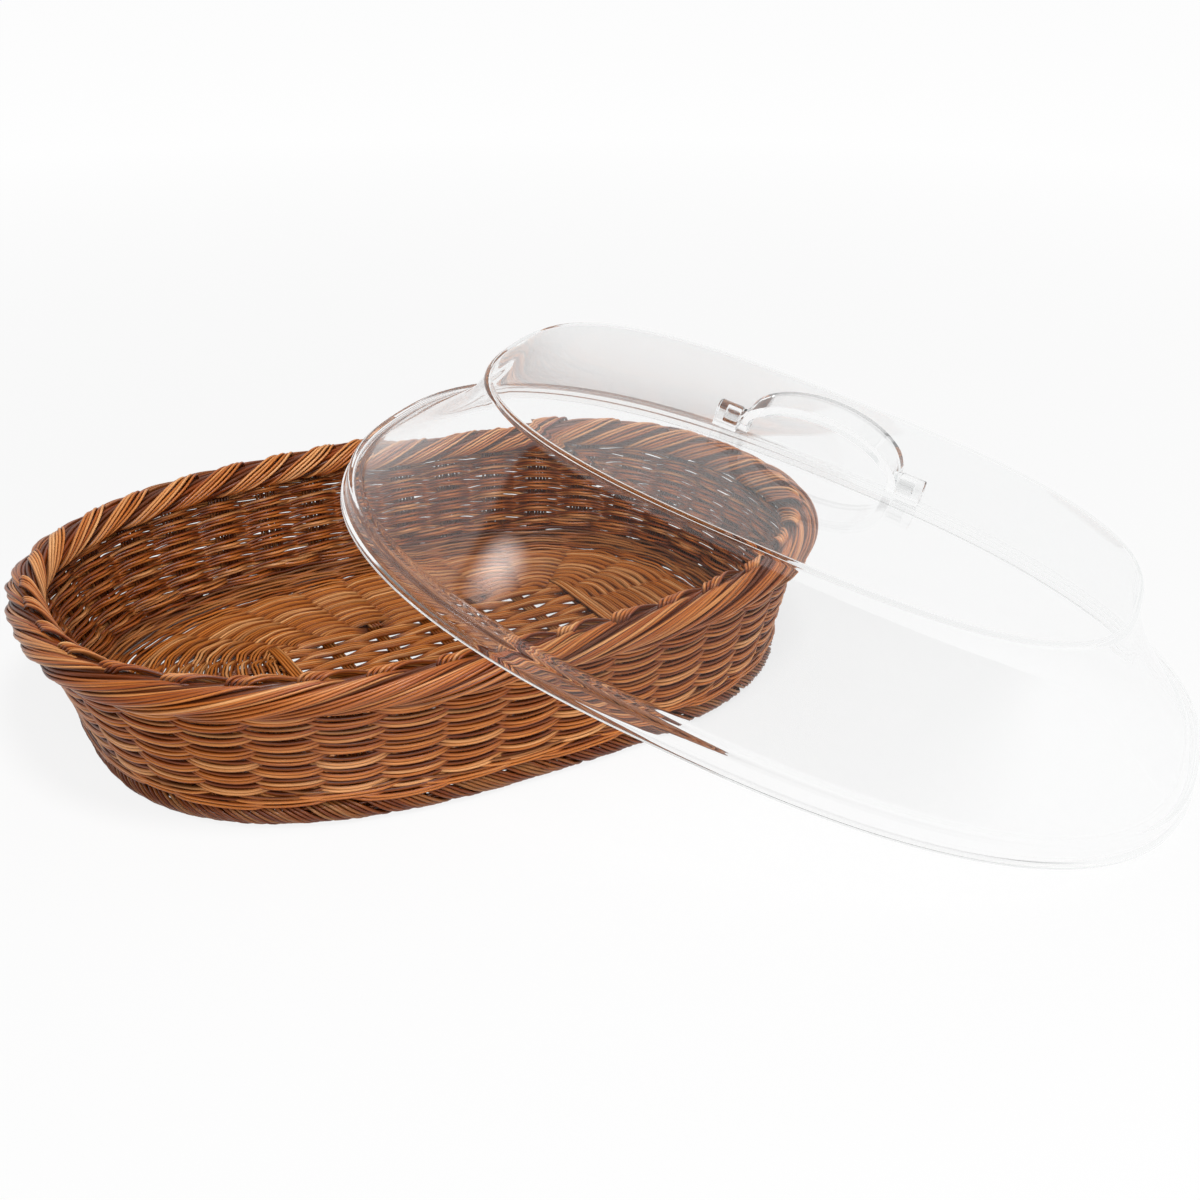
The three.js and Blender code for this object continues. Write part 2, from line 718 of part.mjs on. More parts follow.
place(lid, 'lid_shell', lidShell(), clearPlastic);
place(lid, 'lug_right', lug(), clearPlastic).position.z = pinAxisHeight;
const lugLeft = place(lid, 'lug_left', lug(), clearPlastic);
lugLeft.position.z = pinAxisHeight;
lugLeft.rotation.z = Math.PI;
place(handle, 'handle_bow', handleBow(), clearPlastic);
handle.position.z = pinAxisHeight;
lid.add(handle);
lid.applyMatrix4(leanMatrix(leaningPose()));

basketWithLid.add(basket, lid);

export default basketWithLid;
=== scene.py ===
import math
import random

import bpy
import numpy as np
from bpy.props import FloatProperty, FloatVectorProperty, IntProperty, PointerProperty
from mathutils import Euler, Matrix, Vector


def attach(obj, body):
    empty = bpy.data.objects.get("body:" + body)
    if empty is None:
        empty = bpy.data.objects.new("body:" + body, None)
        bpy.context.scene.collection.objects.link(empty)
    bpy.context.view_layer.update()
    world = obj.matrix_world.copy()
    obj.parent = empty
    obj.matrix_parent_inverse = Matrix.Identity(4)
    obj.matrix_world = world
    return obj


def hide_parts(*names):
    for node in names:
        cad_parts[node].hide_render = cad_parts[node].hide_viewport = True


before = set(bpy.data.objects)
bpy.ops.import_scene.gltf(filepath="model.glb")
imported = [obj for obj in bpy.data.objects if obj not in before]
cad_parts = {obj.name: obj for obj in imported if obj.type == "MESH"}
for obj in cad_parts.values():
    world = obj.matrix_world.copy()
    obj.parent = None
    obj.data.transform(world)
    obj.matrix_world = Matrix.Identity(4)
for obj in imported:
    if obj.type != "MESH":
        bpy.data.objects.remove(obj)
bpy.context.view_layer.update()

bl_info = {
    "name": "Oval bread basket with clear lid",
    "version": (1, 0, 0),
    "blender": (4, 5, 0),
    "location": "View3D > Sidebar > Bread Basket",
    "description": "Weaves an oval bread basket strand by strand and leans its clear lid on the rim",
    "category": "Add Mesh",
}

FULL_TURN = 2 * math.pi
UP = np.array([0.0, 0.0, 1.0])

# All lengths are in metres.


# Sizes and colours


def length(name, description, default):
    return FloatProperty(
        name=name, description=description, default=default, unit="LENGTH", precision=4
    )


def number(name, description, default):
    return FloatProperty(name=name, description=description, default=default)


def whole(name, description, default):
    return IntProperty(name=name, description=description, default=default)


def point(name, description, default):
    return FloatVectorProperty(name=name, description=description, default=default, unit="LENGTH")


def colour(name, description, default):
    return FloatVectorProperty(
        name=name, description=description, default=default, subtype="COLOR", min=0, max=1, size=3
    )


class BasketSizes(bpy.types.PropertyGroup):
    length: length("Length", "Length over the rim", 0.400)
    width: length("Width", "Width over the rim", 0.286)
    height: length("Height", "Height to the top of the rim", 0.076)
    rim_power: number("Rim squareness", "2 is an ellipse", 2.4)
    rim_roll: length("Rim roll", "Thickness of the rolled rim", 0.018)
    foot_length: length("Foot length", "Length over the foot border", 0.351)
    foot_width: length("Foot width", "Width over the foot border", 0.255)
    foot_power: number("Foot squareness", "2 is an ellipse", 2.64)
    foot_roll: length("Foot roll", "Thickness of the foot border", 0.012)
    strand: length("Strand", "Diameter of one strand", 0.0017)
    stakes: whole("Stakes", "Upright strand groups round the wall", 38)
    rows: whole("Rows", "Plain rows of weaving in the wall", 13)
    row_strand: length("Row strand", "Diameter of a strand in the wall's rows", 0.00185)
    sag: length("Sag", "How far a row sags where it passes outside a stake", 0.0039)
    core_length: length("Core length", "Length of the middle of the base", 0.166)
    core_width: length("Core width", "Width of the middle of the base", 0.096)
    core_offset: length("Core offset", "How far the core lies to the right", 0.013)
    base_rings: whole("Base rings", "Rows of weaving round the core", 23)
    core_rows: whole("Core rows", "Lengthwise rows in the core", 14)
    core_sticks: whole("Core sticks", "Crosswise sticks in the core", 7)
    end_sticks: whole("End sticks", "Sticks at each end of the base", 5)
    base_middle: length("Base middle", "Height of the middle of the base's weave", 0.0030)
    base_rise: length("Base rise", "How far a row of the base rises over a stick", 0.0020)
    stick_top: length("Stick top", "Height of the two stick groups that lie on the base", 0.0073)


class LidSizes(bpy.types.PropertyGroup):
    end_clearance: length("End clearance", "Room past the rim at each end", 0.0057)
    side_clearance: length("Side clearance", "Room past the rim at each side", 0.0007)
    wall: length("Wall", "Thickness of the clear plastic", 0.0025)
    power: number("Edge squareness", "2 is an ellipse", 2.43)
    crown_power: number("Crown squareness", "2 is an ellipse", 2.78)
    lip_height: length("Lip height", "Height of the thick bottom lip", 0.003)
    lip_step: length("Lip step", "How far the lip stands out", 0.0008)
    skirt_height: length("Skirt height", "Height of the skirt below the ledge", 0.0115)
    skirt_lean: length("Skirt lean", "How far the skirt leans in", 0.002)
    ledge: length("Ledge", "Width of the ledge over the rim", 0.0064)
    wall_lean: length("Wall lean", "How far the wall leans in", 0.046)
    wall_curve: number("Wall curve", "1 is straight", 1.6)
    shoulder_height: length("Shoulder height", "Height where the shoulder begins", 0.0695)
    shoulder_radius: length("Shoulder radius", "Radius of the shoulder", 0.003)
    crown_rise: length("Crown rise", "How far the crown is domed", 0.002)
    lean_place: point("Place", "Middle of the open underside", (0.1204, -0.1167, 0.0565213))
    lean_turn: FloatVectorProperty(
        name="Turn",
        description="Roll, pitch and yaw of the leaning lid",
        default=(math.radians(0.950758), math.radians(15.56387), math.radians(-52.7)),
        subtype="EULER",
    )
    span: length("Handle span", "Length over the handle's strap", 0.076)
    rise: length("Handle rise", "Height of the strap over its pins", 0.0207)
    strap_width: length("Strap width", "Width of the strap at its middle", 0.022)
    strap_thickness: length("Strap thickness", "Thickness of the strap", 0.0042)
    taper_height: length("Taper height", "Height at which the strap has its full width", 0.010)
    eye: length("Eye", "Diameter of the strap's round ends", 0.010)
    pin: length("Pin", "Diameter of the pins", 0.005)
    pin_length: length("Pin length", "How far a pin reaches into its lug", 0.007)
    pin_clearance: length("Pin clearance", "Gap round a pin", 0.0003)
    pin_height: length("Pin height", "Height of the pins over the crown", 0.0057)
    lug: length("Lug", "Diameter of a lug's barrel", 0.011)
    lug_length: length("Lug length", "Length of a lug's barrel", 0.0115)
    lug_foot: length("Lug foot", "Width of a lug's foot", 0.009)
    lug_gap: length("Lug gap", "Gap between strap and lug", 0.0004)
    seat_gap: length("Seat gap", "Gap under a lug", 0.0003)


class StrandColours(bpy.types.PropertyGroup):
    tan: colour("Tan", "Lightest strands", (0.90, 0.47, 0.20))
    caramel: colour("Caramel", "Most strands", (0.66, 0.225, 0.045))
    chestnut: colour("Chestnut", "Darkest strands", (0.36, 0.080, 0.009))
    golden: colour("Golden", "Strands of the base", (0.48, 0.152, 0.021))
    shadow: colour("Shadow", "Inner strands that fill the rolls", (0.17, 0.045, 0.010))
    clear: colour("Clear plastic", "Tint of the lid", (0.972, 0.974, 0.974))


class StudioSettings(bpy.types.PropertyGroup):
    camera_place: point("Camera", "Place of the camera", (-0.2928, -0.6676, 0.3817))
    camera_target: point("Target", "Point in the picture's middle", (0.0988, 0.0028, 0.0109))
    focal_length: number("Focal length", "In millimetres on a 36 mm sensor", 47.8)
    world_strength: number("World", "Strength of the even light", 0.15)
    key_power: number("Key lamp", "Power of the overhead lamp", 17.0)
    fill_power: number("Fill lamp", "Power of the lamp beside the camera", 14.0)
    spark_power: number("Spark lamp", "Power of the small lamp seen in the lid", 2.2)


# Curves of the basket

CURVE_POINTS = 4001
STICK_SEARCH_POINTS = 400
CORE_POWER = 5.0  # squareness of the core of the base
# A wander is made of this many waves, and the slowest and the quickest go round this often
WAVES, SLOWEST, QUICKEST = 5, 4, 46
PLAIN_POWER = 1.6  # over 1, a row is longer outside a stake than inside it
PLAIN_SAG, LONG_SAG = 0.8, 1.15  # half the stretch in which a row sags, in stakes
ARCH_SHARPNESS = 5
# The base mat of the CAD ends this far inside the foot border, and rises by this bevel at its edge.
SEAT_GAP = 0.0003
BASE_EDGE_BEVEL = 0.0012


def oval(half_length, half_width, power, angles, height=0.0):
    """Points of an oval. A power of 2 gives an ellipse, and more is squarer."""
    c, s = np.cos(angles), np.sin(angles)
    x = half_length * np.sign(c) * np.abs(c) ** (2 / power)
    y = half_width * np.sign(s) * np.abs(s) ** (2 / power)
    return np.stack([x, y, np.full_like(x, height)], axis=1)


def unit(vectors):
    return vectors / np.linalg.norm(vectors, axis=-1, keepdims=True)


def distances_along(points):
    steps = np.linalg.norm(np.diff(points, axis=0), axis=1)
    return np.concatenate([[0.0], np.cumsum(steps)])


def shares_along(points):
    """How far along a closed line each point lies, from 0 to 1."""
    travelled = distances_along(points)
    return travelled / travelled[-1]


def bell(off, width):
    """1 where off is 0, and fading out over the width."""
    return np.exp(-((off / width) ** 2))


class BasketForm:
    """The lines that the strands follow. A place along them is counted in stakes from the right
    end, counterclockwise as seen from above."""

    def __init__(self, sizes):
        angles = np.linspace(0, FULL_TURN, CURVE_POINTS)
        self.stakes = sizes.stakes
        self.foot_z = sizes.foot_roll / 2
        self.rim_z = sizes.height - sizes.rim_roll / 2
        foot_half = [(size - sizes.foot_roll) / 2 for size in (sizes.foot_length, sizes.foot_width)]
        rim_half = [(size - sizes.rim_roll) / 2 for size in (sizes.length, sizes.width)]
        self.foot = oval(*foot_half, sizes.foot_power, angles, self.foot_z)
        self.rim = oval(*rim_half, sizes.rim_power, angles, self.rim_z)
        middle = (self.foot + self.rim) / 2
        self.share = shares_along(middle)
        self.pitch = distances_along(middle)[-1] / sizes.stakes
        along = np.gradient(middle, axis=0)
        along[0] = along[-1] = middle[1] - middle[-2]
        self.outward = unit(np.cross(along, UP))
        inset = sizes.foot_roll + SEAT_GAP + BASE_EDGE_BEVEL
        base_half = sizes.foot_length / 2 - inset, sizes.foot_width / 2 - inset
        self.base_edge = oval(*base_half, sizes.foot_power, angles)
        self.core_edge = oval(sizes.core_length / 2, sizes.core_width / 2, CORE_POWER, angles)
        self.core_edge[:, 0] += sizes.core_offset
        self.count_sticks(sizes)

    def count_sticks(self, sizes):
        """Counts the sticks of the base: those of the core at both sides, and some at each end."""
        half = np.linspace(0, self.stakes / 2, STICK_SEARCH_POINTS)
        x = ((self.line(self.core_edge, half) + self.line(self.base_edge, half)) / 2)[:, 0]
        right = sizes.core_offset + sizes.core_length / 2
        stick_x = np.linspace(right, right - sizes.core_length, sizes.core_sticks)
        sides = np.interp(-stick_x, -x, half)
        first = (sizes.end_sticks + 1) / 2
        counts = first + np.arange(sizes.core_sticks)
        left = first + (sizes.core_sticks - 1) + first
        around = self.stakes
        self.stick_count = round(2 * left)
        back = around - sides[::-1]
        self.stick_places = np.concatenate([[0], sides, [around / 2], back, [around]])
        back = 2 * left - counts[::-1]
        self.stick_counts = np.concatenate([[0], counts, [left], back, [2 * left]])

    def line(self, table, places):
        share = np.mod(np.asarray(places, float) / self.stakes, 1.0)
        return np.stack([np.interp(share, self.share, table[:, k]) for k in range(3)], axis=1)

    def out(self, places):
        return self.line(self.outward, places)

    def wall(self, places, heights, reach):
        """Points on the wall, moved out from its middle by reach."""
        foot, rim = self.line(self.foot, places), self.line(self.rim, places)
        part = (np.asarray(heights) - self.foot_z) / (self.rim_z - self.foot_z)
        return foot + (rim - foot) * part[:, None] + self.out(places) * np.asarray(reach)[:, None]

    def round_roll(self, table, places, turns, radius):
        """Points round a rolled border. A turn of 0 points outwards and a quarter turn up."""
        facing = self.out(places) * np.cos(turns)[:, None] + UP * np.sin(turns)[:, None]
        return self.line(table, places) + facing * radius[:, None], facing

    def ring_pitch(self, places, rings):
        inner, outer = self.line(self.core_edge, places), self.line(self.base_edge, places)
        return np.linalg.norm(outer - inner, axis=1) / rings

    def base(self, places, share, sideways, heights):
        """Points on the base between its core, at a share of 0, and its edge, at 1."""
        inner, outer = self.line(self.core_edge, places), self.line(self.base_edge, places)
        points = inner + (outer - inner) * share[:, None] + unit(outer - inner) * sideways[:, None]
        points[:, 2] = heights
        return points


def wander(rng, places, stakes, reach, quickest=QUICKEST):
    """A slow drift to and fro along a strand, as hand weaving has."""
    drift = np.zeros_like(places)
    for _ in range(WAVES):
        waves = rng.randint(SLOWEST, quickest)
        drift += rng.uniform(-1, 1) * np.sin(FULL_TURN * (waves * places / stakes + rng.random()))
    return drift * reach / 2


def soft_arch(off):
    """An arch of height 1 at 0 that fades to 0 past 1."""
    return np.logaddexp(0, ARCH_SHARPNESS * (1 - off**2)) / ARCH_SHARPNESS


def plain_weave(places, row, power=PLAIN_POWER):
    """Where a row lies that goes outside every second stake: its swing from 1 outside to -1
    inside, how it crosses over, and its sag from 1 to 0. A power over 1 makes the part outside
    longer than the part inside."""
    off = np.mod(places - row + 1, 2) - 1
    phase = math.pi * np.abs(off) ** power
    return np.cos(phase), np.sign(off) * np.sin(phase), soft_arch(off / PLAIN_SAG)


def long_weave(places, row):
    """The same for a row that goes outside two stakes and inside one."""
    off = np.mod(places - row + 1, 3) - 1.5
    swing = np.where(np.abs(off) < 0.5, 1.0, np.cos(math.pi * (np.abs(off) - 0.5)))
    cross = np.sign(off) * np.sqrt(np.clip(1 - swing**2, 0, 1))
    return swing, cross, soft_arch(off / LONG_SAG)


# Strands as tubes

# Painted shade in the crease between two strands: the share of colour left there, and the value for
# the part that faces out fully
CREASE_LIGHT = 0.12
FULL_LIGHT = 1.1
# A strand whose line is steeper than this takes its sides from its own direction, not from up
STEEP = 0.35
GRAIN_GIRTH = 0.35  # size of the grain's pattern round a strand
GRAIN_STARTS = 40  # the grain of a strand starts anywhere in this length
# Every group of strands draws its chances from a seed of its own, plus its number
SEEDS = {
    "ring": 100,
    "core": 200,
    "sticks": 300,
    "top_sticks": 310,
    "foot": 400,
    "filler": 450,
    "stakes": 500,
    "row": 600,
    "corner": 680,
    "rim": 700,
}


def chances(group, number=0):
    return random.Random(SEEDS[group] + number)


def side_by_side(count):
    """Where the strands of a group lie, in strands from its middle."""
    return [number - (count - 1) / 2 for number in range(count)]


def sweep_frames(points, closed):
    if closed:
        along = np.roll(points, -1, axis=0) - np.roll(points, 1, axis=0)
    else:
        along = np.gradient(points, axis=0)
    along = unit(along)
    side = np.cross(along, UP)
    if (np.linalg.norm(side, axis=1) < STEEP).any():
        across = Vector(along.mean(axis=0)).orthogonal().normalized()
        side = np.cross(along, np.array(across))
    side = unit(side)
    return side, np.cross(side, along)


def strand(rng, points, shade, facing=None):
    """One strand, with the painted shade of its points. Facing is the way out of the weave, where it
    isn't up: beside it the strand gets painted shade."""
    tone, start = rng.random(), rng.uniform(0, GRAIN_STARTS)
    shade = np.broadcast_to(shade, len(points))
    return {"points": points, "shade": shade, "tone": tone, "start": start, "facing": facing}


def woven_piece(name, strands, thickness, sides, closed, material, *nodes):
    """One piece of the basket, made of round strands that are closed or capped."""
    points, faces, tone, shade, grain = [], [], [], [], []
    turns = FULL_TURN * np.arange(sides) / sides
    c, s = np.cos(turns), np.sin(turns)
    start = 0
    for entry in strands:
        line = entry["points"]
        count = len(line)
        side, lift = sweep_frames(line, closed)
        ring = side[:, None, :] * c[None, :, None] + lift[:, None, :] * s[None, :, None]
        points.append((line[:, None, :] + ring * thickness / 2).reshape(-1, 3))
        around = np.tile(np.stack([c, s], axis=1) * GRAIN_GIRTH, (count, 1))
        travelled = np.repeat(distances_along(line) + entry["start"], sides)
        grain.append(np.concatenate([around, travelled[:, None]], axis=1))
        tone.append(np.full(count * sides, entry["tone"]))
        facing = lift if entry["facing"] is None else entry["facing"]
        # Painted shade: each point keeps the strand's own shade and gets more the further it faces
        # away from the way out of the weave, as in the crease beside the next strand
        bare = (ring * facing[:, None, :]).sum(axis=2) ** 2
        light = np.clip(CREASE_LIGHT + (FULL_LIGHT - CREASE_LIGHT) * bare, 0, 1)
        shade.append((1 - (1 - entry["shade"][:, None]) * light).ravel())
        for i in range(count if closed else count - 1):
            here, there = start + i * sides, start + ((i + 1) % count) * sides
            for j in range(sides):
                k = (j + 1) % sides
                faces.append((here + j, there + j, there + k, here + k))
        if not closed:
            faces.append(tuple(start + j for j in range(sides)))
            faces.append(tuple(start + (count - 1) * sides + j for j in reversed(range(sides))))
        start += count * sides
    mesh = bpy.data.meshes.new(name)
    mesh.from_pydata(np.concatenate(points).tolist(), [], faces)
    for attribute, kind, field, values in (
        ("tone", "FLOAT", "value", tone),
        ("shade", "FLOAT", "value", shade),
        ("grain", "FLOAT_VECTOR", "vector", grain),
    ):
        stored = mesh.attributes.new(attribute, kind, "POINT")
        stored.data.foreach_set(field, np.concatenate(values).ravel())
    mesh.shade_smooth()
    piece = bpy.data.objects.new(name, mesh)
    bpy.context.scene.collection.objects.link(piece)
    return dress(piece, "basket", material, "wicker", *nodes)


def dress(piece, body, material_name, slot, *nodes):
    """Gives a finished piece its material and its body, and hides the nodes of the model that it
    stands for.
    """
    piece.data.materials.clear()
    piece.data.materials.append(material_named(material_name))
    if body == "basket":
        strand_lamp_receivers().objects.link(piece)
    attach(piece, body)
    if nodes:
        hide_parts(*nodes)
    return piece


# Materials

# Across and along a strand, how fine its streaks and its slow changes of colour are
STREAKS = (9.0, 9.0, 45.0)
PATCHES = (0.4, 0.4, 22.0)
TONE_REACH, TONE_SHIFT = 0.8, -0.35  # how much a strand's own tone counts
PATCH_REACH = 0.9  # how much the slow changes along it count
SHADE_DEPTH = 0.55  # how much deeper in colour shade is
STREAK_LIGHT, STREAK_ROUGHNESS = (0.82, 1.12), (0.24, 0.46)
STRAND_BUMP, CLEAR_BUMP = 0.0002, 0.0006
STRAND_RELIEF = 0.35
CLEAR_ROUGHNESS = 0.008
CLEAR_IOR = 1.49
RIPPLE_SIZE = 22.0
SHADOW_TINT = (0.96, 0.965, 0.965, 1)  # light that passes straight through the clear plastic


def feed(tree, socket, value):
    """Sets an input to a value, or links the output of another node to it."""
    if isinstance(value, bpy.types.NodeSocket):
        tree.links.new(value, socket)
    else:
        socket.default_value = value


def node(tree, kind, place, inputs=None, **settings):
    made = tree.nodes.new(f"ShaderNode{kind}")
    made.location = place
    for key, value in settings.items():
        setattr(made, key, value)
    for socket, value in (inputs or {}).items():
        feed(tree, made.inputs[socket], value)
    return made


def calculate(tree, place, operation, *values):
    return node(tree, "Math", place, dict(enumerate(values)), operation=operation).outputs[0]


def vectors(tree, place, operation, *values):
    return node(tree, "VectorMath", place, dict(enumerate(values)), operation=operation).outputs


def ramp(tree, place, value, start, end, low=0.0, high=1.0, kind="LINEAR"):
    """Turns start to end into low to high, and clamps."""
    inputs = {"Value": value, "From Min": start, "From Max": end, "To Min": low, "To Max": high}
    return node(tree, "MapRange", place, inputs, interpolation_type=kind).outputs["Result"]


def noise(tree, place, vector, scale, detail):
    inputs = {"Vector": vector, "Scale": scale, "Detail": detail}
    return node(tree, "TexNoise", place, inputs).outputs["Fac"]


def stretched(tree, place, vector, scale):
    return node(tree, "Mapping", place, {"Vector": vector, "Scale": scale}).outputs["Vector"]


def mixed(tree, place, factor, first, second, data_type="RGBA"):
    inputs = {"Factor": factor, "A": first, "B": second}
    return node(tree, "Mix", place, inputs, data_type=data_type).outputs["Result"]


def mixed_shader(tree, place, factor, first, second):
    return node(tree, "MixShader", place, {"Fac": factor, 1: first, 2: second}).outputs["Shader"]


def new_group(name, inputs, outputs):
    """An empty group with the outputs of its input node and the inputs of its output node."""
    tree = bpy.data.node_groups.new(name, "ShaderNodeTree")
    for sockets, in_out in ((inputs, "INPUT"), (outputs, "OUTPUT")):
        for socket, kind in sockets.items():
            tree.interface.new_socket(socket, in_out=in_out, socket_type=f"NodeSocket{kind}")
    given, out = tree.nodes.new("NodeGroupInput"), tree.nodes.new("NodeGroupOutput")
    given.location, out.location = (-900, 0), (900, 0)
    return tree, given.outputs, out.inputs


def strand_tone_group():
    """Colour, roughness and grain of plastic strand, from each strand's own tone, with painted shade
    darkening the colour.
    """
    if "Strand tone" in bpy.data.node_groups:
        return bpy.data.node_groups["Strand tone"]
    inputs = dict.fromkeys(("Light", "Middle", "Dark"), "Color")
    inputs |= {"Tone": "Float", "Shade": "Float", "Grain": "Vector", "Depth of shade": "Float"}
    outputs = {"Color": "Color", "Roughness": "Float", "Height": "Float"}
    tree, given, out = new_group("Strand tone", inputs, outputs)
    fine = stretched(tree, (-700, -200), given["Grain"], STREAKS)
    streaks = noise(tree, (-500, -200), fine, 1.0, 3.0)
    slow = stretched(tree, (-700, -500), given["Grain"], PATCHES)
    patches = noise(tree, (-500, -500), slow, 1.0, 2.0)
    # The tone of a strand wanders from dark over middle to light
    own = calculate(tree, (-500, 100), "MULTIPLY_ADD", given["Tone"], TONE_REACH, TONE_SHIFT)
    level = calculate(tree, (-300, -350), "MULTIPLY_ADD", patches, PATCH_REACH, own)
    to_middle = ramp(tree, (-100, 200), level, 0.0, 0.5)
    to_light = ramp(tree, (-100, -100), level, 0.5, 1.0)
    low = mixed(tree, (100, 200), to_middle, given["Dark"], given["Middle"])
    high = mixed(tree, (280, 100), to_light, low, given["Light"])
    # Painted shade makes it both darker and deeper in colour
    darken = calculate(tree, (280, -150), "MULTIPLY", given["Shade"], given["Depth of shade"])
    depth = calculate(tree, (450, 300), "MULTIPLY_ADD", darken, SHADE_DEPTH, 1.0)
    deep = node(tree, "Gamma", (600, 200), {"Color": high, "Gamma": depth})
    keep = calculate(tree, (450, -150), "SUBTRACT", 1.0, darken)
    streaked = ramp(tree, (280, -350), streaks, 0.3, 0.7, *STREAK_LIGHT)
    light = calculate(tree, (600, -200), "MULTIPLY", keep, streaked)
    inputs = {0: deep.outputs["Color"], "Scale": light}
    tint = node(tree, "VectorMath", (720, 100), inputs, operation="SCALE")
    feed(tree, out["Color"], tint.outputs["Vector"])
    rough = ramp(tree, (600, -450), streaks, 0.0, 1.0, *STREAK_ROUGHNESS)
    feed(tree, out["Roughness"], rough)
    feed(tree, out["Height"], streaks)
    return tree


def new_material(name):
    material = bpy.data.materials.new(name)
    material.use_nodes = True
    return material, material.node_tree


def feed_surface(tree, shader, group, strength, distance):
    """Roughness from a group, and a bump from its height."""
    inputs = {"Strength": strength, "Distance": distance, "Height": group.outputs["Height"]}
    bump = node(tree, "Bump", (-100, -250), inputs)
    feed(tree, shader.inputs["Roughness"], group.outputs["Roughness"])
    feed(tree, shader.inputs["Normal"], bump.outputs["Normal"])


def strand_material(name, light, middle, dark, depth_of_shade, specular):
    """Plastic strand, which reads the tone, painted shade and grain of its piece's points."""
    material, tree = new_material(name)
    shader = tree.nodes["Principled BSDF"]
    inputs = {"Light": (*light, 1), "Middle": (*middle, 1), "Dark": (*dark, 1)}
    inputs["Depth of shade"] = depth_of_shade
    readers = (("tone", "Fac", 200), ("shade", "Fac", 0), ("grain", "Vector", -200))
    for attribute, output, y in readers:
        reader = node(tree, "Attribute", (-550, y), attribute_name=attribute)
        inputs[attribute.title()] = reader.outputs[output]
    group = node(tree, "Group", (-300, 0), inputs, node_tree=strand_tone_group())
    shader.inputs["Specular IOR Level"].default_value = specular
    feed(tree, shader.inputs["Base Color"], group.outputs["Color"])
    feed_surface(tree, shader, group, STRAND_RELIEF, STRAND_BUMP)
    return material


def handling_marks_group():
    """Faint haze and ripple of moulded clear plastic that has been wiped many times."""
    if "Handling marks" in bpy.data.node_groups:
        return bpy.data.node_groups["Handling marks"]
    inputs = {"Haze": "Float", "Ripple size": "Float"}
    outputs = {"Roughness": "Float", "Height": "Float"}
    tree, given, out = new_group("Handling marks", inputs, outputs)
    place = node(tree, "TexCoord", (-700, 0)).outputs["Object"]
    smears = noise(tree, (-450, 100), place, 35.0, 5.0)
    hazed = ramp(tree, (-200, 100), smears, 0.45, 0.75, CLEAR_ROUGHNESS, given["Haze"])
    feed(tree, out["Roughness"], hazed)
    feed(tree, out["Height"], noise(tree, (-450, -200), place, given["Ripple size"], 1.0))
    return tree


def clear_material(name, tint, haze, ripple):
    """Clear plastic that lets shadow rays and rays trapped inside it pass straight through."""
    material, tree = new_material(name)
    shader = tree.nodes["Principled BSDF"]
    shader.inputs["Base Color"].default_value = (*tint, 1)
    shader.inputs["IOR"].default_value = CLEAR_IOR
    shader.inputs["Transmission Weight"].default_value = 1.0
    inputs = {"Haze": haze, "Ripple size": RIPPLE_SIZE}
    group = node(tree, "Group", (-400, 0), inputs, node_tree=handling_marks_group())
    feed_surface(tree, shader, group, ripple, CLEAR_BUMP)
    rays = node(tree, "LightPath", (-200, 400)).outputs
    trapped = calculate(tree, (0, 400), "GREATER_THAN", rays["Glossy Depth"], 1.5)
    passes = calculate(tree, (170, 400), "MAXIMUM", rays["Is Shadow Ray"], trapped)
    through = node(tree, "BsdfTransparent", (0, -500), {"Color": SHADOW_TINT}).outputs["BSDF"]
    mix = mixed_shader(tree, (350, 100), passes, shader.outputs["BSDF"], through)
    feed(tree, tree.nodes["Material Output"].inputs["Surface"], mix)
    return material


def material_named(name):
    if name in bpy.data.materials:
        return bpy.data.materials[name]
    tones = bpy.context.scene.strand_colours
    # Colours from light to dark, depth of painted shade and specular level
    strands = {
        "wall_strand": (tones.tan, tones.caramel, tones.chestnut, 0.93, 0.36),
        "base_strand": (tones.tan, tones.golden, tones.caramel, 0.9, 0.25),
        "filler_strand": (tones.chestnut, tones.shadow, tones.shadow, 0.5, 0.3),
    }
    # Haze and ripple
    clear = {"clear_shell": (0.03, 0.06), "clear_handle": (0.05, 0.12)}
    if name in strands:
        return strand_material(name, *strands[name])
    return clear_material(name, tones.clear, *clear[name])


# Base

RING_STEPS = 5  # points of a ring from one stake to the next
BAND_MARGIN = 0.5  # room beside the first and the last ring, in rings
CLIMBING_RINGS = 2  # rings past the band, on the foot of the wall
RING_TOUCH = 1.55  # the rings' pitch, in strands, at which the strands of a ring touch
RING_ROOM = (1.0, 1.22)  # the least and most room for a strand of a ring, in strands
RING_POWER = 1.2  # as PLAIN_POWER, for a ring over and under the sticks
RING_TWIST, CORE_TWIST = math.radians(24), math.radians(20)
TIP = 0.4  # how far a twisted group tips up at one side, in strands
RING_DRIFT, RING_STRAND_DRIFT = 0.0005, 0.0002
RING_BULGE = 0.0021  # how far a ring bows sideways over a stick
RING_RISE, CORE_RISE = 0.8, 0.65  # how much of the base's rise a row has
EDGE_START, EDGE_WIDTH = 0.8, 0.15  # the part of the base that flattens towards its edge
EDGE_BULGE, EDGE_RISE = 0.0016, 0.5  # what the edge takes from a ring's bulge and rise
EDGE_SHADE = 0.35
CLIMB, CLIMB_START = 0.041, 0.9  # how steeply the base's edge climbs, and from where
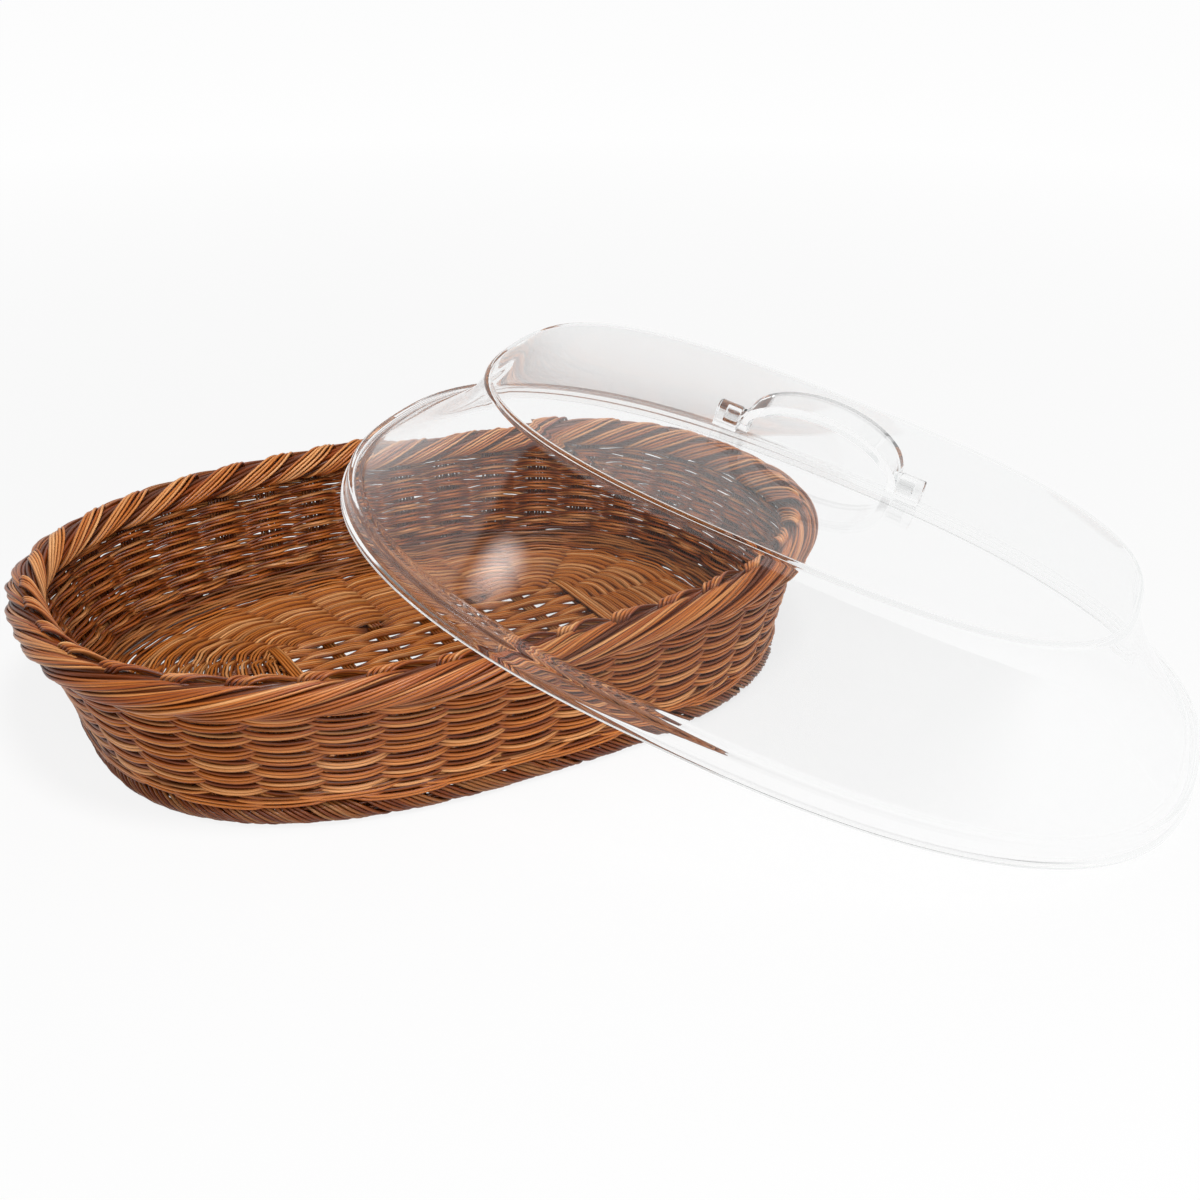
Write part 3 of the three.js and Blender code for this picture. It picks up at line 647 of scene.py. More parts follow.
# How far the edge, and a ring's or a core row's outer strands, lean away from facing up
EDGE_LEAN, RING_LEAN, CORE_LEAN = math.radians(40), math.radians(30), math.radians(20)
CORE_ROOM, CORE_ROOM_OVER = 1.17, 0.05  # room for a strand, in strands, and more over a stick
CORE_BULGE = 0.0007
CORE_DRIFT, CORE_STRAND_DRIFT = 0.0007, 0.0003
CORE_WAVES, CORE_STRAND_WAVES = 9, 12
CORE_OVERHANG = 0.004
CORE_POINTS = 62
STICK_POINTS, TOP_STICK_POINTS = 6, 16
STICK_END = 0.995  # how far a stick reaches towards the base's edge
STICK_SHADE = 0.55
UNDER_SHADE = 0.95  # shade where a row dips under a stick
TOP_STICK_TAPER = 0.2  # how much narrower a top stick group is at its ends
TOP_STICK_OVERHANG = 0.002
TOP_STICK_DIP = 0.0022  # how far the ends of the two top stick groups go down


def shade_under(swing):
    """How much painted shade a row of the base has, most where it dips under a stick."""
    return UNDER_SHADE * np.clip(0.35 - swing / 1.2, 0, 1)


class BASKET_OT_base(bpy.types.Operator):
    """Weaves the base: rings round a core of crosswise sticks"""

    bl_idname = "basket.weave_base"
    bl_label = "Weave Base"

    def execute(self, context):
        sizes = context.scene.basket_sizes
        form = BasketForm(sizes)
        self.rings(sizes, form)
        self.core(sizes)
        self.sticks(sizes, form)
        self.top_sticks(sizes)
        return {"FINISHED"}

    def rings(self, sizes, form):
        d = sizes.strand
        places = np.arange(sizes.stakes * RING_STEPS) / RING_STEPS
        counts = np.interp(places, form.stick_places, form.stick_counts)
        rows = sizes.base_rings + 2 * BAND_MARGIN
        tight = np.clip(form.ring_pitch(places, rows) / (RING_TOUCH * d), *RING_ROOM)
        width = form.ring_pitch(places, 1)
        strands = []
        for ring in range(sizes.base_rings + CLIMBING_RINGS):
            rng = chances("ring", ring)
            part = (ring + 0.5 + BAND_MARGIN) / rows
            swing, cross, arch = plain_weave(counts, ring, RING_POWER)
            edge = np.clip((part - EDGE_START) / EDGE_WIDTH, 0, 1)
            twist = RING_TWIST * cross
            share = np.full_like(places, part)
            drift = wander(rng, places, sizes.stakes, RING_DRIFT)
            bulge = (RING_BULGE - EDGE_BULGE * edge) * (arch - 0.5)
            rise = sizes.base_rise * (RING_RISE - EDGE_RISE * edge) * swing
            shade = np.clip(shade_under(swing), EDGE_SHADE * edge**4, 1)
            for j in side_by_side(3):
                own = wander(rng, places, sizes.stakes, RING_STRAND_DRIFT)
                sideways = j * tight * d * np.cos(twist) + bulge + drift + own
                climb = CLIMB * np.maximum(part + sideways / width - CLIMB_START, 0)
                height = sizes.base_middle + rise + TIP * j * d * np.sin(twist) + climb
                lean = EDGE_LEAN * edge**2 + RING_LEAN * j
                facing = UP * math.cos(lean) - form.out(places) * math.sin(lean)
                points = form.base(places, share, sideways, height)
                strands.append(strand(rng, points, shade, facing))
        woven_piece("base_rings", strands, d, 6, True, "base_strand", "base_mat")

    def core(self, sizes):
        d = sizes.strand
        gap = sizes.core_length / (sizes.core_sticks - 1)
        left = sizes.core_offset - sizes.core_length / 2
        right = left + sizes.core_length
        x = np.linspace(left - CORE_OVERHANG, right + CORE_OVERHANG, CORE_POINTS)
        places = (x - left) / gap
        strands = []
        for row in range(sizes.core_rows):
            rng = chances("core", row)
            y = sizes.core_width * ((row + 0.5) / sizes.core_rows - 0.5)
            swing, cross, arch = plain_weave(places, row)
            twist = CORE_TWIST * cross
            spread = (CORE_ROOM + CORE_ROOM_OVER * swing) * d * np.cos(twist)
            rise = CORE_RISE * sizes.base_rise * swing
            common = wander(rng, places, sizes.core_sticks, CORE_DRIFT, CORE_WAVES)
            bulge = CORE_BULGE * (arch - 0.5)
            for j in side_by_side(4):
                own = wander(
                    rng, places, sizes.core_sticks, CORE_STRAND_DRIFT, CORE_STRAND_WAVES
                )
                across = y + j * spread + bulge + common + own
                height = sizes.base_middle + rise + TIP * j * d * np.sin(twist)
                lean = CORE_LEAN * j
                facing = np.tile([0.0, -math.sin(lean), math.cos(lean)], (len(x), 1))
                points = np.stack([x, across, height], axis=1)
                strands.append(strand(rng, points, shade_under(swing), facing))
        woven_piece("base_core", strands, d, 6, False, "base_strand")

    def sticks(self, sizes, form):
        d = sizes.strand
        rng = chances("sticks")
        strands = []
        share = np.linspace(0.0, STICK_END, STICK_POINTS)
        straight = np.zeros(STICK_POINTS)
        level = np.full(STICK_POINTS, sizes.base_middle)
        for count in range(form.stick_count):
            place = float(np.interp(count, form.stick_counts, form.stick_places))
            points = form.base(np.full(STICK_POINTS, place), share, straight, level)
            side = unit(np.cross(points[-1] - points[0], UP))
            for j in side_by_side(4):
                strands.append(strand(rng, points + side * j * d, STICK_SHADE))
        left = sizes.core_offset - sizes.core_length / 2
        y = np.linspace(-sizes.core_width / 2, sizes.core_width / 2, STICK_POINTS)
        for k in range(sizes.core_sticks):
            for j in side_by_side(4):
                x = left + k * sizes.core_length / (sizes.core_sticks - 1) + j * d
                points = np.stack([np.full(STICK_POINTS, x), y, level], axis=1)
                strands.append(strand(rng, points, STICK_SHADE))
        woven_piece("base_sticks", strands, d, 6, False, "base_strand")

    def top_sticks(self, sizes):
        d = sizes.strand
        reach = sizes.core_width / 2 + TOP_STICK_OVERHANG
        y = np.linspace(-reach, reach, TOP_STICK_POINTS)
        narrow = 1 - TOP_STICK_TAPER * (1 - np.cos(math.pi * y / reach / 2))
        z = sizes.stick_top - d / 2 - TOP_STICK_DIP * (np.abs(y) / reach) ** 6
        for name, side in (("left", -1), ("right", 1)):
            rng = chances("top_sticks", side)
            middle = sizes.core_offset + side * sizes.core_length / 2
            strands = []
            for j in side_by_side(4):
                x = middle + j * d * narrow
                strands.append(strand(rng, np.stack([x, y, z], axis=1), 0.0))
            name, replaced = f"core_stick_{name}", f"base_stick_{name}"
            woven_piece(name, strands, d, 8, False, "base_strand", replaced)


# Foot, wall and rim

FILLER_TURNS = 7  # how often the filler of a roll winds round on its way
FILLER_SHADE = 0.3
# The degrees round the roll at which each kind of strand starts, and how far it winds
ROPE_START, ROPE_SWEEP = 112, -238
WRAP_START, WRAP_SWEEP = -104, 214
LOOP_START, LOOP_SWEEP = 78, 162
# The room between the strands of a group, in stakes
ROPE_ROOM, WRAP_ROOM, LOOP_ROOM = 0.125, 0.17, 0.15
# How far their ends are tucked in
ROPE_TUCK, WRAP_TUCK, LOOP_TUCK = 0.0020, 0.0032, 0.0030
ROPE_UNEVEN, WRAP_UNEVEN, LOOP_UNEVEN = 0.0005, 0.0006, 0.0005
ROPE_SHADE, WRAP_SHADE = 0.58, 0.16  # shade of the outer side; the tucked ends have more
WRAP_INSET, WRAP_SWELL = 0.0005, 0.0009
WRAP_SLACK, LOOP_SLACK = 0.03, 0.02  # how far a strand may stray from its place, in stakes
# How far the loops stand up at their crest, and where it is and how wide along the loop
LOOP_CREST, CREST_PLACE, CREST_WIDTH = 0.0013, 0.14, 0.14
# Heights of the first plain row over the foot border and of the last over the rim's underside
FIRST_ROW, LAST_ROW = 0.0068, 0.0026
WALL_STEPS = 10  # points of a row from one stake to the next
WEFT_BANDS = 7  # pieces that the plain rows of the wall make up
LONG_STAKES = 36  # stakes that the long rows count, so that two out and one in come out even
# How far up into the foot border and the rim the stakes begin and end, and their points
STAKE_START, STAKE_END, STAKE_POINTS = 0.5, 0.7, 9
STAKE_ROOM = 1.05  # room for each strand of a stake, in strands
STAKE_SLACK, STAKE_DRIFT, STAKE_SHADE = 0.15, 0.0003, 0.8
ROW_TWIST, ROW_LEAN = math.radians(22), math.radians(24)
ROW_TIP = 0.6  # as TIP, for a row of the wall
ROW_SWING = 0.0027  # how far a row reaches to either side of the wall's middle
ROW_DRIFT, ROW_STRAND_DRIFT, ROW_WAVES = 0.0006, 0.0003, 24
# Room for a strand, in strands, how much it varies, and how much less it is inside a stake
ROW_ROOM, ROW_ROOM_DRIFT, ROW_SQUEEZE = 1.14, 0.10, 0.12
BETWEEN_SHADE, TOP_SHADE = 0.7, 0.45  # shade between two stakes, and of a row's top strand
TOP_INSET, MIDDLE_INSET = 0.0010, 0.0012
# Height over the foot border, reach and sag of the lowest long row, and the steps to the next
LONG_HEIGHT, LONG_STEP, LONG_SAG_DEPTH = 0.0028, 0.0013, 0.0026
LONG_BULGE, LONG_BULGE_STEP, LONG_SEED = 0.0016, 0.0004, 50
# The same for the rows in the inner corner
CORNER_HEIGHT, CORNER_STEP, CORNER_ROOM = 0.0076, 0.0027, 1.1
CORNER_REACH, CORNER_REACH_STEP, CORNER_SWING = -0.0062, 0.0012, 0.0006
CORNER_DRIFT = 0.0006


class BASKET_OT_foot(bpy.types.Operator):
    """Winds the rope-like foot border round its filler"""

    bl_idname = "basket.wind_foot"
    bl_label = "Wind Foot Border"

    def execute(self, context):
        sizes = context.scene.basket_sizes
        form = BasketForm(sizes)
        d = sizes.strand
        rng = chances("foot")
        strands = []
        share = np.linspace(0, 1, 15)
        surface = sizes.foot_roll / 2 - d / 2
        spread = ROPE_ROOM * (0.55 + 0.45 * np.sin(math.pi * share) ** 0.8)
        turns = np.radians(ROPE_START + ROPE_SWEEP * share**0.95)
        tuck = bell(share, 0.12) + 0.7 * bell(1 - share, 0.12)
        shade = ROPE_SHADE + 0.36 * np.clip(tuck, 0, 1)
        for group in range(2 * sizes.stakes):
            shift = rng.uniform(-0.05, 0.05)
            travel = rng.uniform(1.15, 1.4)
            for j in side_by_side(4):
                places = group / 2 + shift + travel * share + j * spread
                radius = surface - ROPE_TUCK * tuck - ROPE_UNEVEN * rng.random()
                points, facing = form.round_roll(form.foot, places, turns, radius)
                strands.append(strand(rng, points, shade, facing))
        woven_piece("foot_rope", strands, d, 6, False, "wall_strand", "foot_border")
        filler(form, form.foot, "foot_filler", 6, 0.0026, d)
        return {"FINISHED"}


def filler(form, table, name, count, radius, thickness):
    """Strands that run lengthwise inside a roll, with a slow twist."""
    rng = chances("filler", count)
    places = np.arange(form.stakes * RING_STEPS) / RING_STEPS
    strands = []
    for k in range(count):
        turns = FULL_TURN * (k / count + FILLER_TURNS * places / form.stakes)
        points, facing = form.round_roll(table, places, turns, np.full_like(places, radius))
        strands.append(strand(rng, points, FILLER_SHADE, facing))
    woven_piece(name, strands, thickness, 6, True, "filler_strand")


class BASKET_OT_wall(bpy.types.Operator):
    """Stands the stakes and weaves the rows of the wall in and out of them"""

    bl_idname = "basket.weave_wall"
    bl_label = "Weave Wall"

    def execute(self, context):
        sizes = context.scene.basket_sizes
        form = BasketForm(sizes)
        self.stakes(sizes, form)
        places = np.arange(sizes.stakes * WALL_STEPS) / WALL_STEPS
        low = sizes.foot_roll + FIRST_ROW
        high = sizes.height - sizes.rim_roll + LAST_ROW
        gap = (high - low) / (sizes.rows - 1)
        bands = {band: [] for band in range(WEFT_BANDS)}
        for row in range(sizes.rows):
            weave = plain_weave(places, row)
            level = low + row * gap
            band = row * WEFT_BANDS // sizes.rows
            bands[band] += self.row(sizes, form, places, weave, level, sizes.sag, 0, row)
        for band, strands in bands.items():
            name, replaced = f"wall_row_{band + 2}", f"weft_row_{band + 2}"
            woven_piece(name, strands, sizes.row_strand, 8, True, "wall_strand", replaced)
        self.lowest_rows(sizes, form)
        return {"FINISHED"}

    def stakes(self, sizes, form):
        rng = chances("stakes")
        strands = []
        low, high = sizes.foot_roll * STAKE_START, sizes.height - sizes.rim_roll * STAKE_END
        heights = np.linspace(low, high, STAKE_POINTS)
        for place in range(sizes.stakes):
            for j in side_by_side(7):
                off = j * STAKE_ROOM + rng.uniform(-STAKE_SLACK, STAKE_SLACK)
                places = np.full_like(heights, place + off * sizes.strand / form.pitch)
                reach = np.full_like(heights, rng.uniform(-STAKE_DRIFT, STAKE_DRIFT))
                points = form.wall(places, heights, reach)
                strands.append(strand(rng, points, STAKE_SHADE, form.out(places)))
        stakes = [f"stake_{number + 1}" for number in range(sizes.stakes)]
        woven_piece("wall_stakes", strands, sizes.strand, 6, False, "wall_strand", *stakes)

    def row(self, sizes, form, places, weave, level, sag, bulge, seed):
        """Three strands that run side by side outside a stake and close together inside it."""
        d = sizes.strand
        rng = chances("row", seed)
        swing, cross, arch = weave
        outside, inside = np.clip(swing, 0, 1), np.clip(-swing, 0, 1)
        twist = ROW_TWIST * cross
        common = wander(rng, places, sizes.stakes, ROW_DRIFT, ROW_WAVES)
        uneven = wander(rng, places, sizes.stakes, ROW_ROOM_DRIFT, ROW_WAVES)
        tight = ROW_ROOM + uneven - ROW_SQUEEZE * inside
        between = BETWEEN_SHADE * (1 - np.abs(swing)) ** 1.5
        strands = []
        # The top strand lies further in outside the stakes, with painted shade there, and the middle
        # one lies further in inside them
        for j, top, middle in ((-1, 0, 0), (0, 0, 1), (1, 1, 0)):
            own = wander(rng, places, sizes.stakes, ROW_STRAND_DRIFT, ROW_WAVES)
            height = level - sag * arch + j * tight * d * np.cos(twist) + common + own
            reach = ROW_SWING * swing + ROW_TIP * j * d * np.sin(twist)
            reach += (bulge - TOP_INSET * top) * outside - MIDDLE_INSET * middle * inside
            shade = np.clip(between + TOP_SHADE * top * outside, 0, 1)
            lean = ROW_LEAN * j * swing
            facing = form.out(places) * np.cos(lean)[:, None] - UP * np.sin(lean)[:, None]
            strands.append(strand(rng, form.wall(places, height, reach), shade, facing))
        return strands

    def lowest_rows(self, sizes, form):
        """Three long rows outside, and three rows in the inner corner between wall and base."""
        counts = np.arange(LONG_STAKES * WALL_STEPS) / WALL_STEPS
        places = counts * sizes.stakes / LONG_STAKES
        strands = []
        for row in range(3):
            weave = long_weave(counts, row)
            level = sizes.foot_roll + LONG_HEIGHT + LONG_STEP * row
            bulge = LONG_BULGE - LONG_BULGE_STEP * row
            seed = LONG_SEED + row
            strands += self.row(sizes, form, places, weave, level, LONG_SAG_DEPTH, bulge, seed)
        for row in range(3):
            rng = chances("corner", row)
            swing = plain_weave(counts, row)[0]
            for j in side_by_side(2):
                own = wander(rng, places, sizes.stakes, CORNER_DRIFT)
                height = CORNER_HEIGHT + CORNER_STEP * row + CORNER_ROOM * j * sizes.strand + own
                reach = CORNER_REACH + CORNER_REACH_STEP * row + CORNER_SWING * swing
                shade = 0.3 + 0.5 * np.clip(0.5 + swing / 2, 0, 1)
                points = form.wall(places, height, reach)
                strands.append(strand(rng, points, shade, form.out(places)))
        woven_piece("wall_row_1", strands, sizes.strand, 8, True, "wall_strand", "weft_row_1")


class BASKET_OT_rim(bpy.types.Operator):
    """Rolls the rim: long wraps outside and a row of loops along the inner crest"""

    bl_idname = "basket.roll_rim"
    bl_label = "Roll Rim"

    def execute(self, context):
        sizes = context.scene.basket_sizes
        form = BasketForm(sizes)
        surface = sizes.rim_roll / 2 - sizes.strand / 2
        rng = chances("rim")
        self.wraps(sizes, form, surface, rng)
        self.loops(sizes, form, surface, rng)
        filler(form, form.rim, "rim_filler", 15, 0.0056, 0.0026)
        return {"FINISHED"}

    def wraps(self, sizes, form, surface, rng):
        strands = []
        share = np.linspace(0, 1, 30)
        middle = np.sin(math.pi * share)
        tuck = bell(share, 0.12) + bell(1 - share, 0.11)
        shade = WRAP_SHADE + 0.74 * np.clip(tuck, 0, 1)
        spread = 0.2 + 0.8 * middle**1.2
        for group in range(sizes.stakes):
            shift = rng.uniform(-0.10, 0.10)
            travel = rng.uniform(3.9, 4.3)
            roll = rng.uniform(-6, 6)
            turns = np.radians(roll + WRAP_START + WRAP_SWEEP * share**1.06)
            for j in side_by_side(5):
                own = rng.uniform(-WRAP_SLACK, WRAP_SLACK)
                places = group + shift + travel * share + (j * WRAP_ROOM + own) * spread
                swell = WRAP_SWELL * middle * math.cos(1.2 * j)
                uneven = WRAP_UNEVEN * own / WRAP_SLACK
                radius = surface - WRAP_INSET - WRAP_TUCK * tuck + (swell + uneven)
                points, facing = form.round_roll(form.rim, places, turns, radius)
                strands.append(strand(rng, points, shade, facing))
        woven_piece("rim_wraps", strands, sizes.strand, 8, False, "wall_strand", "rim")

    def loops(self, sizes, form, surface, rng):
        strands = []
        share = np.concatenate([np.linspace(0, 0.16, 8)[:-1], np.linspace(0.16, 1, 16)])
        tuck = bell(share, 0.03) + bell(1 - share, 0.15)
        crest = LOOP_CREST * bell(share - CREST_PLACE, CREST_WIDTH)
        shade = 0.9 * np.clip(tuck, 0, 1)
        spread = 0.4 + 0.6 * np.sin(math.pi * share) ** 0.7
        turns = np.radians(LOOP_START + LOOP_SWEEP * share**0.95)
        for group in range(sizes.stakes):
            shift = rng.uniform(-0.08, 0.08)
            travel = rng.uniform(1.6, 1.85)
            for j in side_by_side(5):
                own = rng.uniform(-LOOP_SLACK, LOOP_SLACK)
                off = (j * LOOP_ROOM + own) * spread
                places = group + 0.5 + shift + travel * share + off
                radius = surface - LOOP_TUCK * tuck + crest + LOOP_UNEVEN * own / LOOP_SLACK
                points, facing = form.round_roll(form.rim, places, turns, radius)
                strands.append(strand(rng, points, shade, facing))
        woven_piece("rim_loops", strands, sizes.strand, 8, False, "wall_strand")


# Lid

WALL_LEVELS = 22
SHOULDER_STEPS = 8
CORNER_STEPS = 6
AROUND_POINTS = 184
# How far a corner's round starts from it: the inner and outer edges of the lip, the foot of the
# ledge and the foot of the wall
INNER_EDGE, OUTER_EDGE, LEDGE_ROUND, WALL_ROUND = 0.0006, 0.0009, 0.0018, 0.0014
CROWN_SCALES = (0.96, 0.9, 0.8, 0.68, 0.55, 0.42, 0.3, 0.18, 0.08)
STRAP_STEPS = 48
STRAP_BEVEL, LUG_BEVEL = 0.0007, 0.0009
STRAP_TAPER = 0.8  # under 1, the strap widens sooner
SPACING_INSET = 0.02  # the shell's points are spread evenly round an oval this far in
# How much shorter a lug's foot is than its barrel, and how far its bore starts outside it
FOOT_INSET, BORE_LEAD = 0.0004, 0.001
ROD_SIDES, LUG_SIDES = 40, 48


def lid_matrix(lid):
    return Matrix.Translation(lid.lean_place) @ Euler(lid.lean_turn, "XYZ").to_matrix().to_4x4()


def lid_half(lid, basket):
    """Half the lid's length and half its width, over the lip."""
    wall = lid.wall + lid.lip_step
    half_length = basket.length / 2 + lid.end_clearance + wall
    return half_length, basket.width / 2 + lid.side_clearance + wall


def crown_inset(lid):
    return lid.skirt_lean + lid.ledge + lid.wall_lean + lid.shoulder_radius


def crown_height(lid, scale):
    return lid.shoulder_height + lid.shoulder_radius + lid.crown_rise * (1 - scale**2)


def rounded(points, radii):
    """A line of points with its corners rounded. Each corner's round starts a radius from it."""
    line = [points[0]]
    for i in range(1, len(points) - 1):
        corner, reach = points[i], radii[i]
        if reach <= 0:
            line.append(corner)
            continue
        before, after = points[i - 1] - corner, points[i + 1] - corner
        first = corner + before.normalized() * min(reach, before.length * 0.49)
        last = corner + after.normalized() * min(reach, after.length * 0.49)
        for k in range(CORNER_STEPS + 1):
            t = k / CORNER_STEPS
            line.append(first * (1 - t) ** 2 + corner * 2 * t * (1 - t) + last * t**2)
    line.append(points[-1])
    return line


def lid_outline(lid):
    """The outside of the lid's wall from the lip to the crown's edge, as inset and height."""
    line = [(lid.lip_step, 0), (lid.lip_step, lid.lip_height + lid.lip_step)]
    line.append((lid.skirt_lean, lid.skirt_height))
    for i in range(WALL_LEVELS):
        share = i / WALL_LEVELS
        lean = 1 - (1 - share) ** lid.wall_curve
        height = lid.skirt_height + (lid.shoulder_height - lid.skirt_height) * share
        line.append((lid.skirt_lean + lid.ledge + lean * lid.wall_lean, height))
    for i in range(SHOULDER_STEPS + 1):
        turn = math.pi / 2 * i / SHOULDER_STEPS
        inset = crown_inset(lid) - lid.shoulder_radius * math.cos(turn)
        line.append((inset, lid.shoulder_height + lid.shoulder_radius * math.sin(turn)))
    return [Vector(corner) for corner in line]


def offset_inwards(line, distance):
    """The line moved to its right. Its last piece counts as level."""
    sides = [Vector((b.y - a.y, a.x - b.x)).normalized() for a, b in zip(line, line[1:])]
    sides = [sides[0]] + sides + [Vector((0, -1))]
    moved = []
    for corner, first, last in zip(line, sides, sides[1:]):
        mitre = (first + last).normalized()
        moved.append(corner + mitre * (distance / mitre.dot(first)))
    return moved


class BASKET_OT_lid(bpy.types.Operator):
    """Draws the clear lid's shell from its lip, skirt, ledge, flared wall and shallow crown"""

    bl_idname = "basket.draw_lid"
    bl_label = "Draw Lid Shell"

    def execute(self, context):
        lid = context.scene.lid_sizes
        mesh = bpy.data.meshes.new("lid_dome")
        mesh.from_pydata(*self.shell(lid, *lid_half(lid, context.scene.basket_sizes)))
        mesh.transform(lid_matrix(lid))
        piece = bpy.data.objects.new("lid_dome", mesh)
        context.scene.collection.objects.link(piece)
        select_only(piece)
        bpy.ops.object.shade_smooth_by_angle(angle=math.radians(50))
        dress(piece, "lid", "clear_shell", "clear_plastic", "lid_shell")
        return {"FINISHED"}

    def shell(self, lid, half_length, half_width):
        """Points and faces of the shell, from the crown down the outside and up the inside."""
        outside = lid_outline(lid)
        inside = offset_inwards(outside, lid.wall)
        rounds = [LEDGE_ROUND, WALL_ROUND] + [0] * len(outside)
        lip = [Vector((INNER_EDGE, 0)), Vector((0, 0)), Vector((0, lid.lip_height))]
        outer = rounded(lip + outside[1:], [0, INNER_EDGE, OUTER_EDGE, OUTER_EDGE] + rounds)
        inner_lip = [Vector((inside[0].x - INNER_EDGE, 0))]
        inner = rounded(inner_lip + inside, [0, INNER_EDGE, INNER_EDGE] + rounds)
        angles = np.linspace(0, FULL_TURN, CURVE_POINTS)
        inner_half = half_length - SPACING_INSET, half_width - SPACING_INSET
        spacing = oval(*inner_half, lid.power, angles)
        around = np.arange(AROUND_POINTS) / AROUND_POINTS
        around = np.interp(around, shares_along(spacing), angles)

        def ring(inset, height, scale=1.0):
            squarer = (lid.crown_power - lid.power) * min(inset / crown_inset(lid), 1)
            half = (half_length - inset) * scale, (half_width - inset) * scale
            return oval(*half, lid.power + squarer, around, height)

        rings = [ring(outer[-1].x, crown_height(lid, s), s) for s in reversed(CROWN_SCALES)]
        rings += [ring(p.x, p.y) for p in reversed(outer)]
        rings += [ring(p.x, p.y) for p in inner]
        rings += [ring(inner[-1].x, crown_height(lid, s) - lid.wall, s) for s in CROWN_SCALES]
        top = crown_height(lid, 0)
        points = np.concatenate(rings + [[[0, 0, top], [0, 0, top - lid.wall]]])
        count = AROUND_POINTS
        faces = []
        for start in range(0, (len(rings) - 1) * count, count):
            for j in range(count):
                k = (j + 1) % count
                faces.append((start + j, start + count + j, start + count + k, start + k))
        tip, last = len(rings) * count, (len(rings) - 1) * count
        for j in range(count):
            k = (j + 1) % count
            faces.append((tip, j, k))
            faces.append((tip + 1, last + k, last + j))
        return points.tolist(), [], faces


def select_only(*pieces):
    bpy.ops.object.select_all(action="DESELECT")
    for piece in pieces:
        piece.select_set(True)
    bpy.context.view_layer.objects.active = pieces[0]


def apply_modifier(piece, kind, **settings):
    modifier = piece.modifiers.new(kind.title(), kind)
    for key, value in settings.items():
        setattr(modifier, key, value)
    select_only(piece)
    bpy.ops.object.modifier_apply(modifier=modifier.name)


def bevel(piece, width, angle):
    limit = math.radians(angle)
    apply_modifier(piece, "BEVEL", width=width, segments=3, limit_method="ANGLE", angle_limit=limit)


def combine(piece, other, operation):
    apply_modifier(piece, "BOOLEAN", object=other, operation=operation, solver="EXACT")
    bpy.data.objects.remove(other)


def apply_transform():
    bpy.ops.object.transform_apply(location=True, rotation=True, scale=True)


def rod_along_x(diameter, start, end, sides=ROD_SIDES):
    """A short round rod along X, from start to end."""
    bpy.ops.object.select_all(action="DESELECT")
    bpy.ops.mesh.primitive_cylinder_add(
        vertices=sides,
        radius=diameter / 2,
        depth=abs(end - start),
        location=((start + end) / 2, 0, 0),
        rotation=(0, math.pi / 2, 0),
    )
    rod = bpy.context.object
    apply_transform()
    return rod


def finish_on_crown(lid, piece, name, body, cad_node):
    """Names a piece made round the pins' axis, and moves it to its place on the leaning lid."""
    piece.name = piece.data.name = name
    height = crown_height(lid, 0) + lid.pin_height
    piece.data.transform(lid_matrix(lid) @ Matrix.Translation((0, 0, height)))
    select_only(piece)
    bpy.ops.object.shade_smooth_by_angle(angle=math.radians(40))
    dress(piece, body, "clear_handle", "clear_plastic", cad_node)


class BASKET_OT_handle(bpy.types.Operator):
    """Bends the strap handle and gives it round eyes and pins"""

    bl_idname = "basket.bend_handle"
    bl_label = "Bend Handle"

    def execute(self, context):
        lid = context.scene.lid_sizes
        half, thick = lid.span / 2, lid.strap_thickness
        strap = self.half_ring(context, half - thick / 2, thick, lid.strap_width)
        for vertex in strap.data.vertices:
            x, y, z = vertex.co
            reach = math.hypot(x, z)
            rise = lid.rise - thick if reach < half - thick / 2 else lid.rise
            height = z / reach * rise
            share = min(max(height / lid.taper_height, 0), 1)
            width = lid.eye + (lid.strap_width - lid.eye) * share**STRAP_TAPER
            vertex.co = (x, y / lid.strap_width * width, height)
        for side in (1, -1):
            eye = rod_along_x(lid.eye, side * (half - thick), side * half)
            combine(strap, eye, "UNION")
            pin = rod_along_x(lid.pin, side * (half - thick / 2), side * (half + lid.pin_length))
            combine(strap, pin, "UNION")
        bevel(strap, STRAP_BEVEL, 50)
        finish_on_crown(lid, strap, "handle_strap", "handle", "handle_bow")
        return {"FINISHED"}

    def half_ring(self, context, radius, thickness, width):
        bpy.ops.object.select_all(action="DESELECT")
        bpy.ops.mesh.primitive_plane_add(size=1, location=(radius, 0, 0))
        strap = context.object
        strap.scale = (thickness, width, 1)
        apply_transform()
        bpy.ops.object.mode_set(mode="EDIT")
        bpy.ops.mesh.select_all(action="SELECT")
        bpy.ops.mesh.spin(steps=STRAP_STEPS, angle=math.pi, center=(0, 0, 0), axis=(0, 1, 0))
        bpy.ops.mesh.select_all(action="SELECT")
        bpy.ops.mesh.remove_doubles(threshold=1e-6)
        bpy.ops.mesh.normals_make_consistent(inside=False)
        bpy.ops.object.mode_set(mode="OBJECT")
        return strap


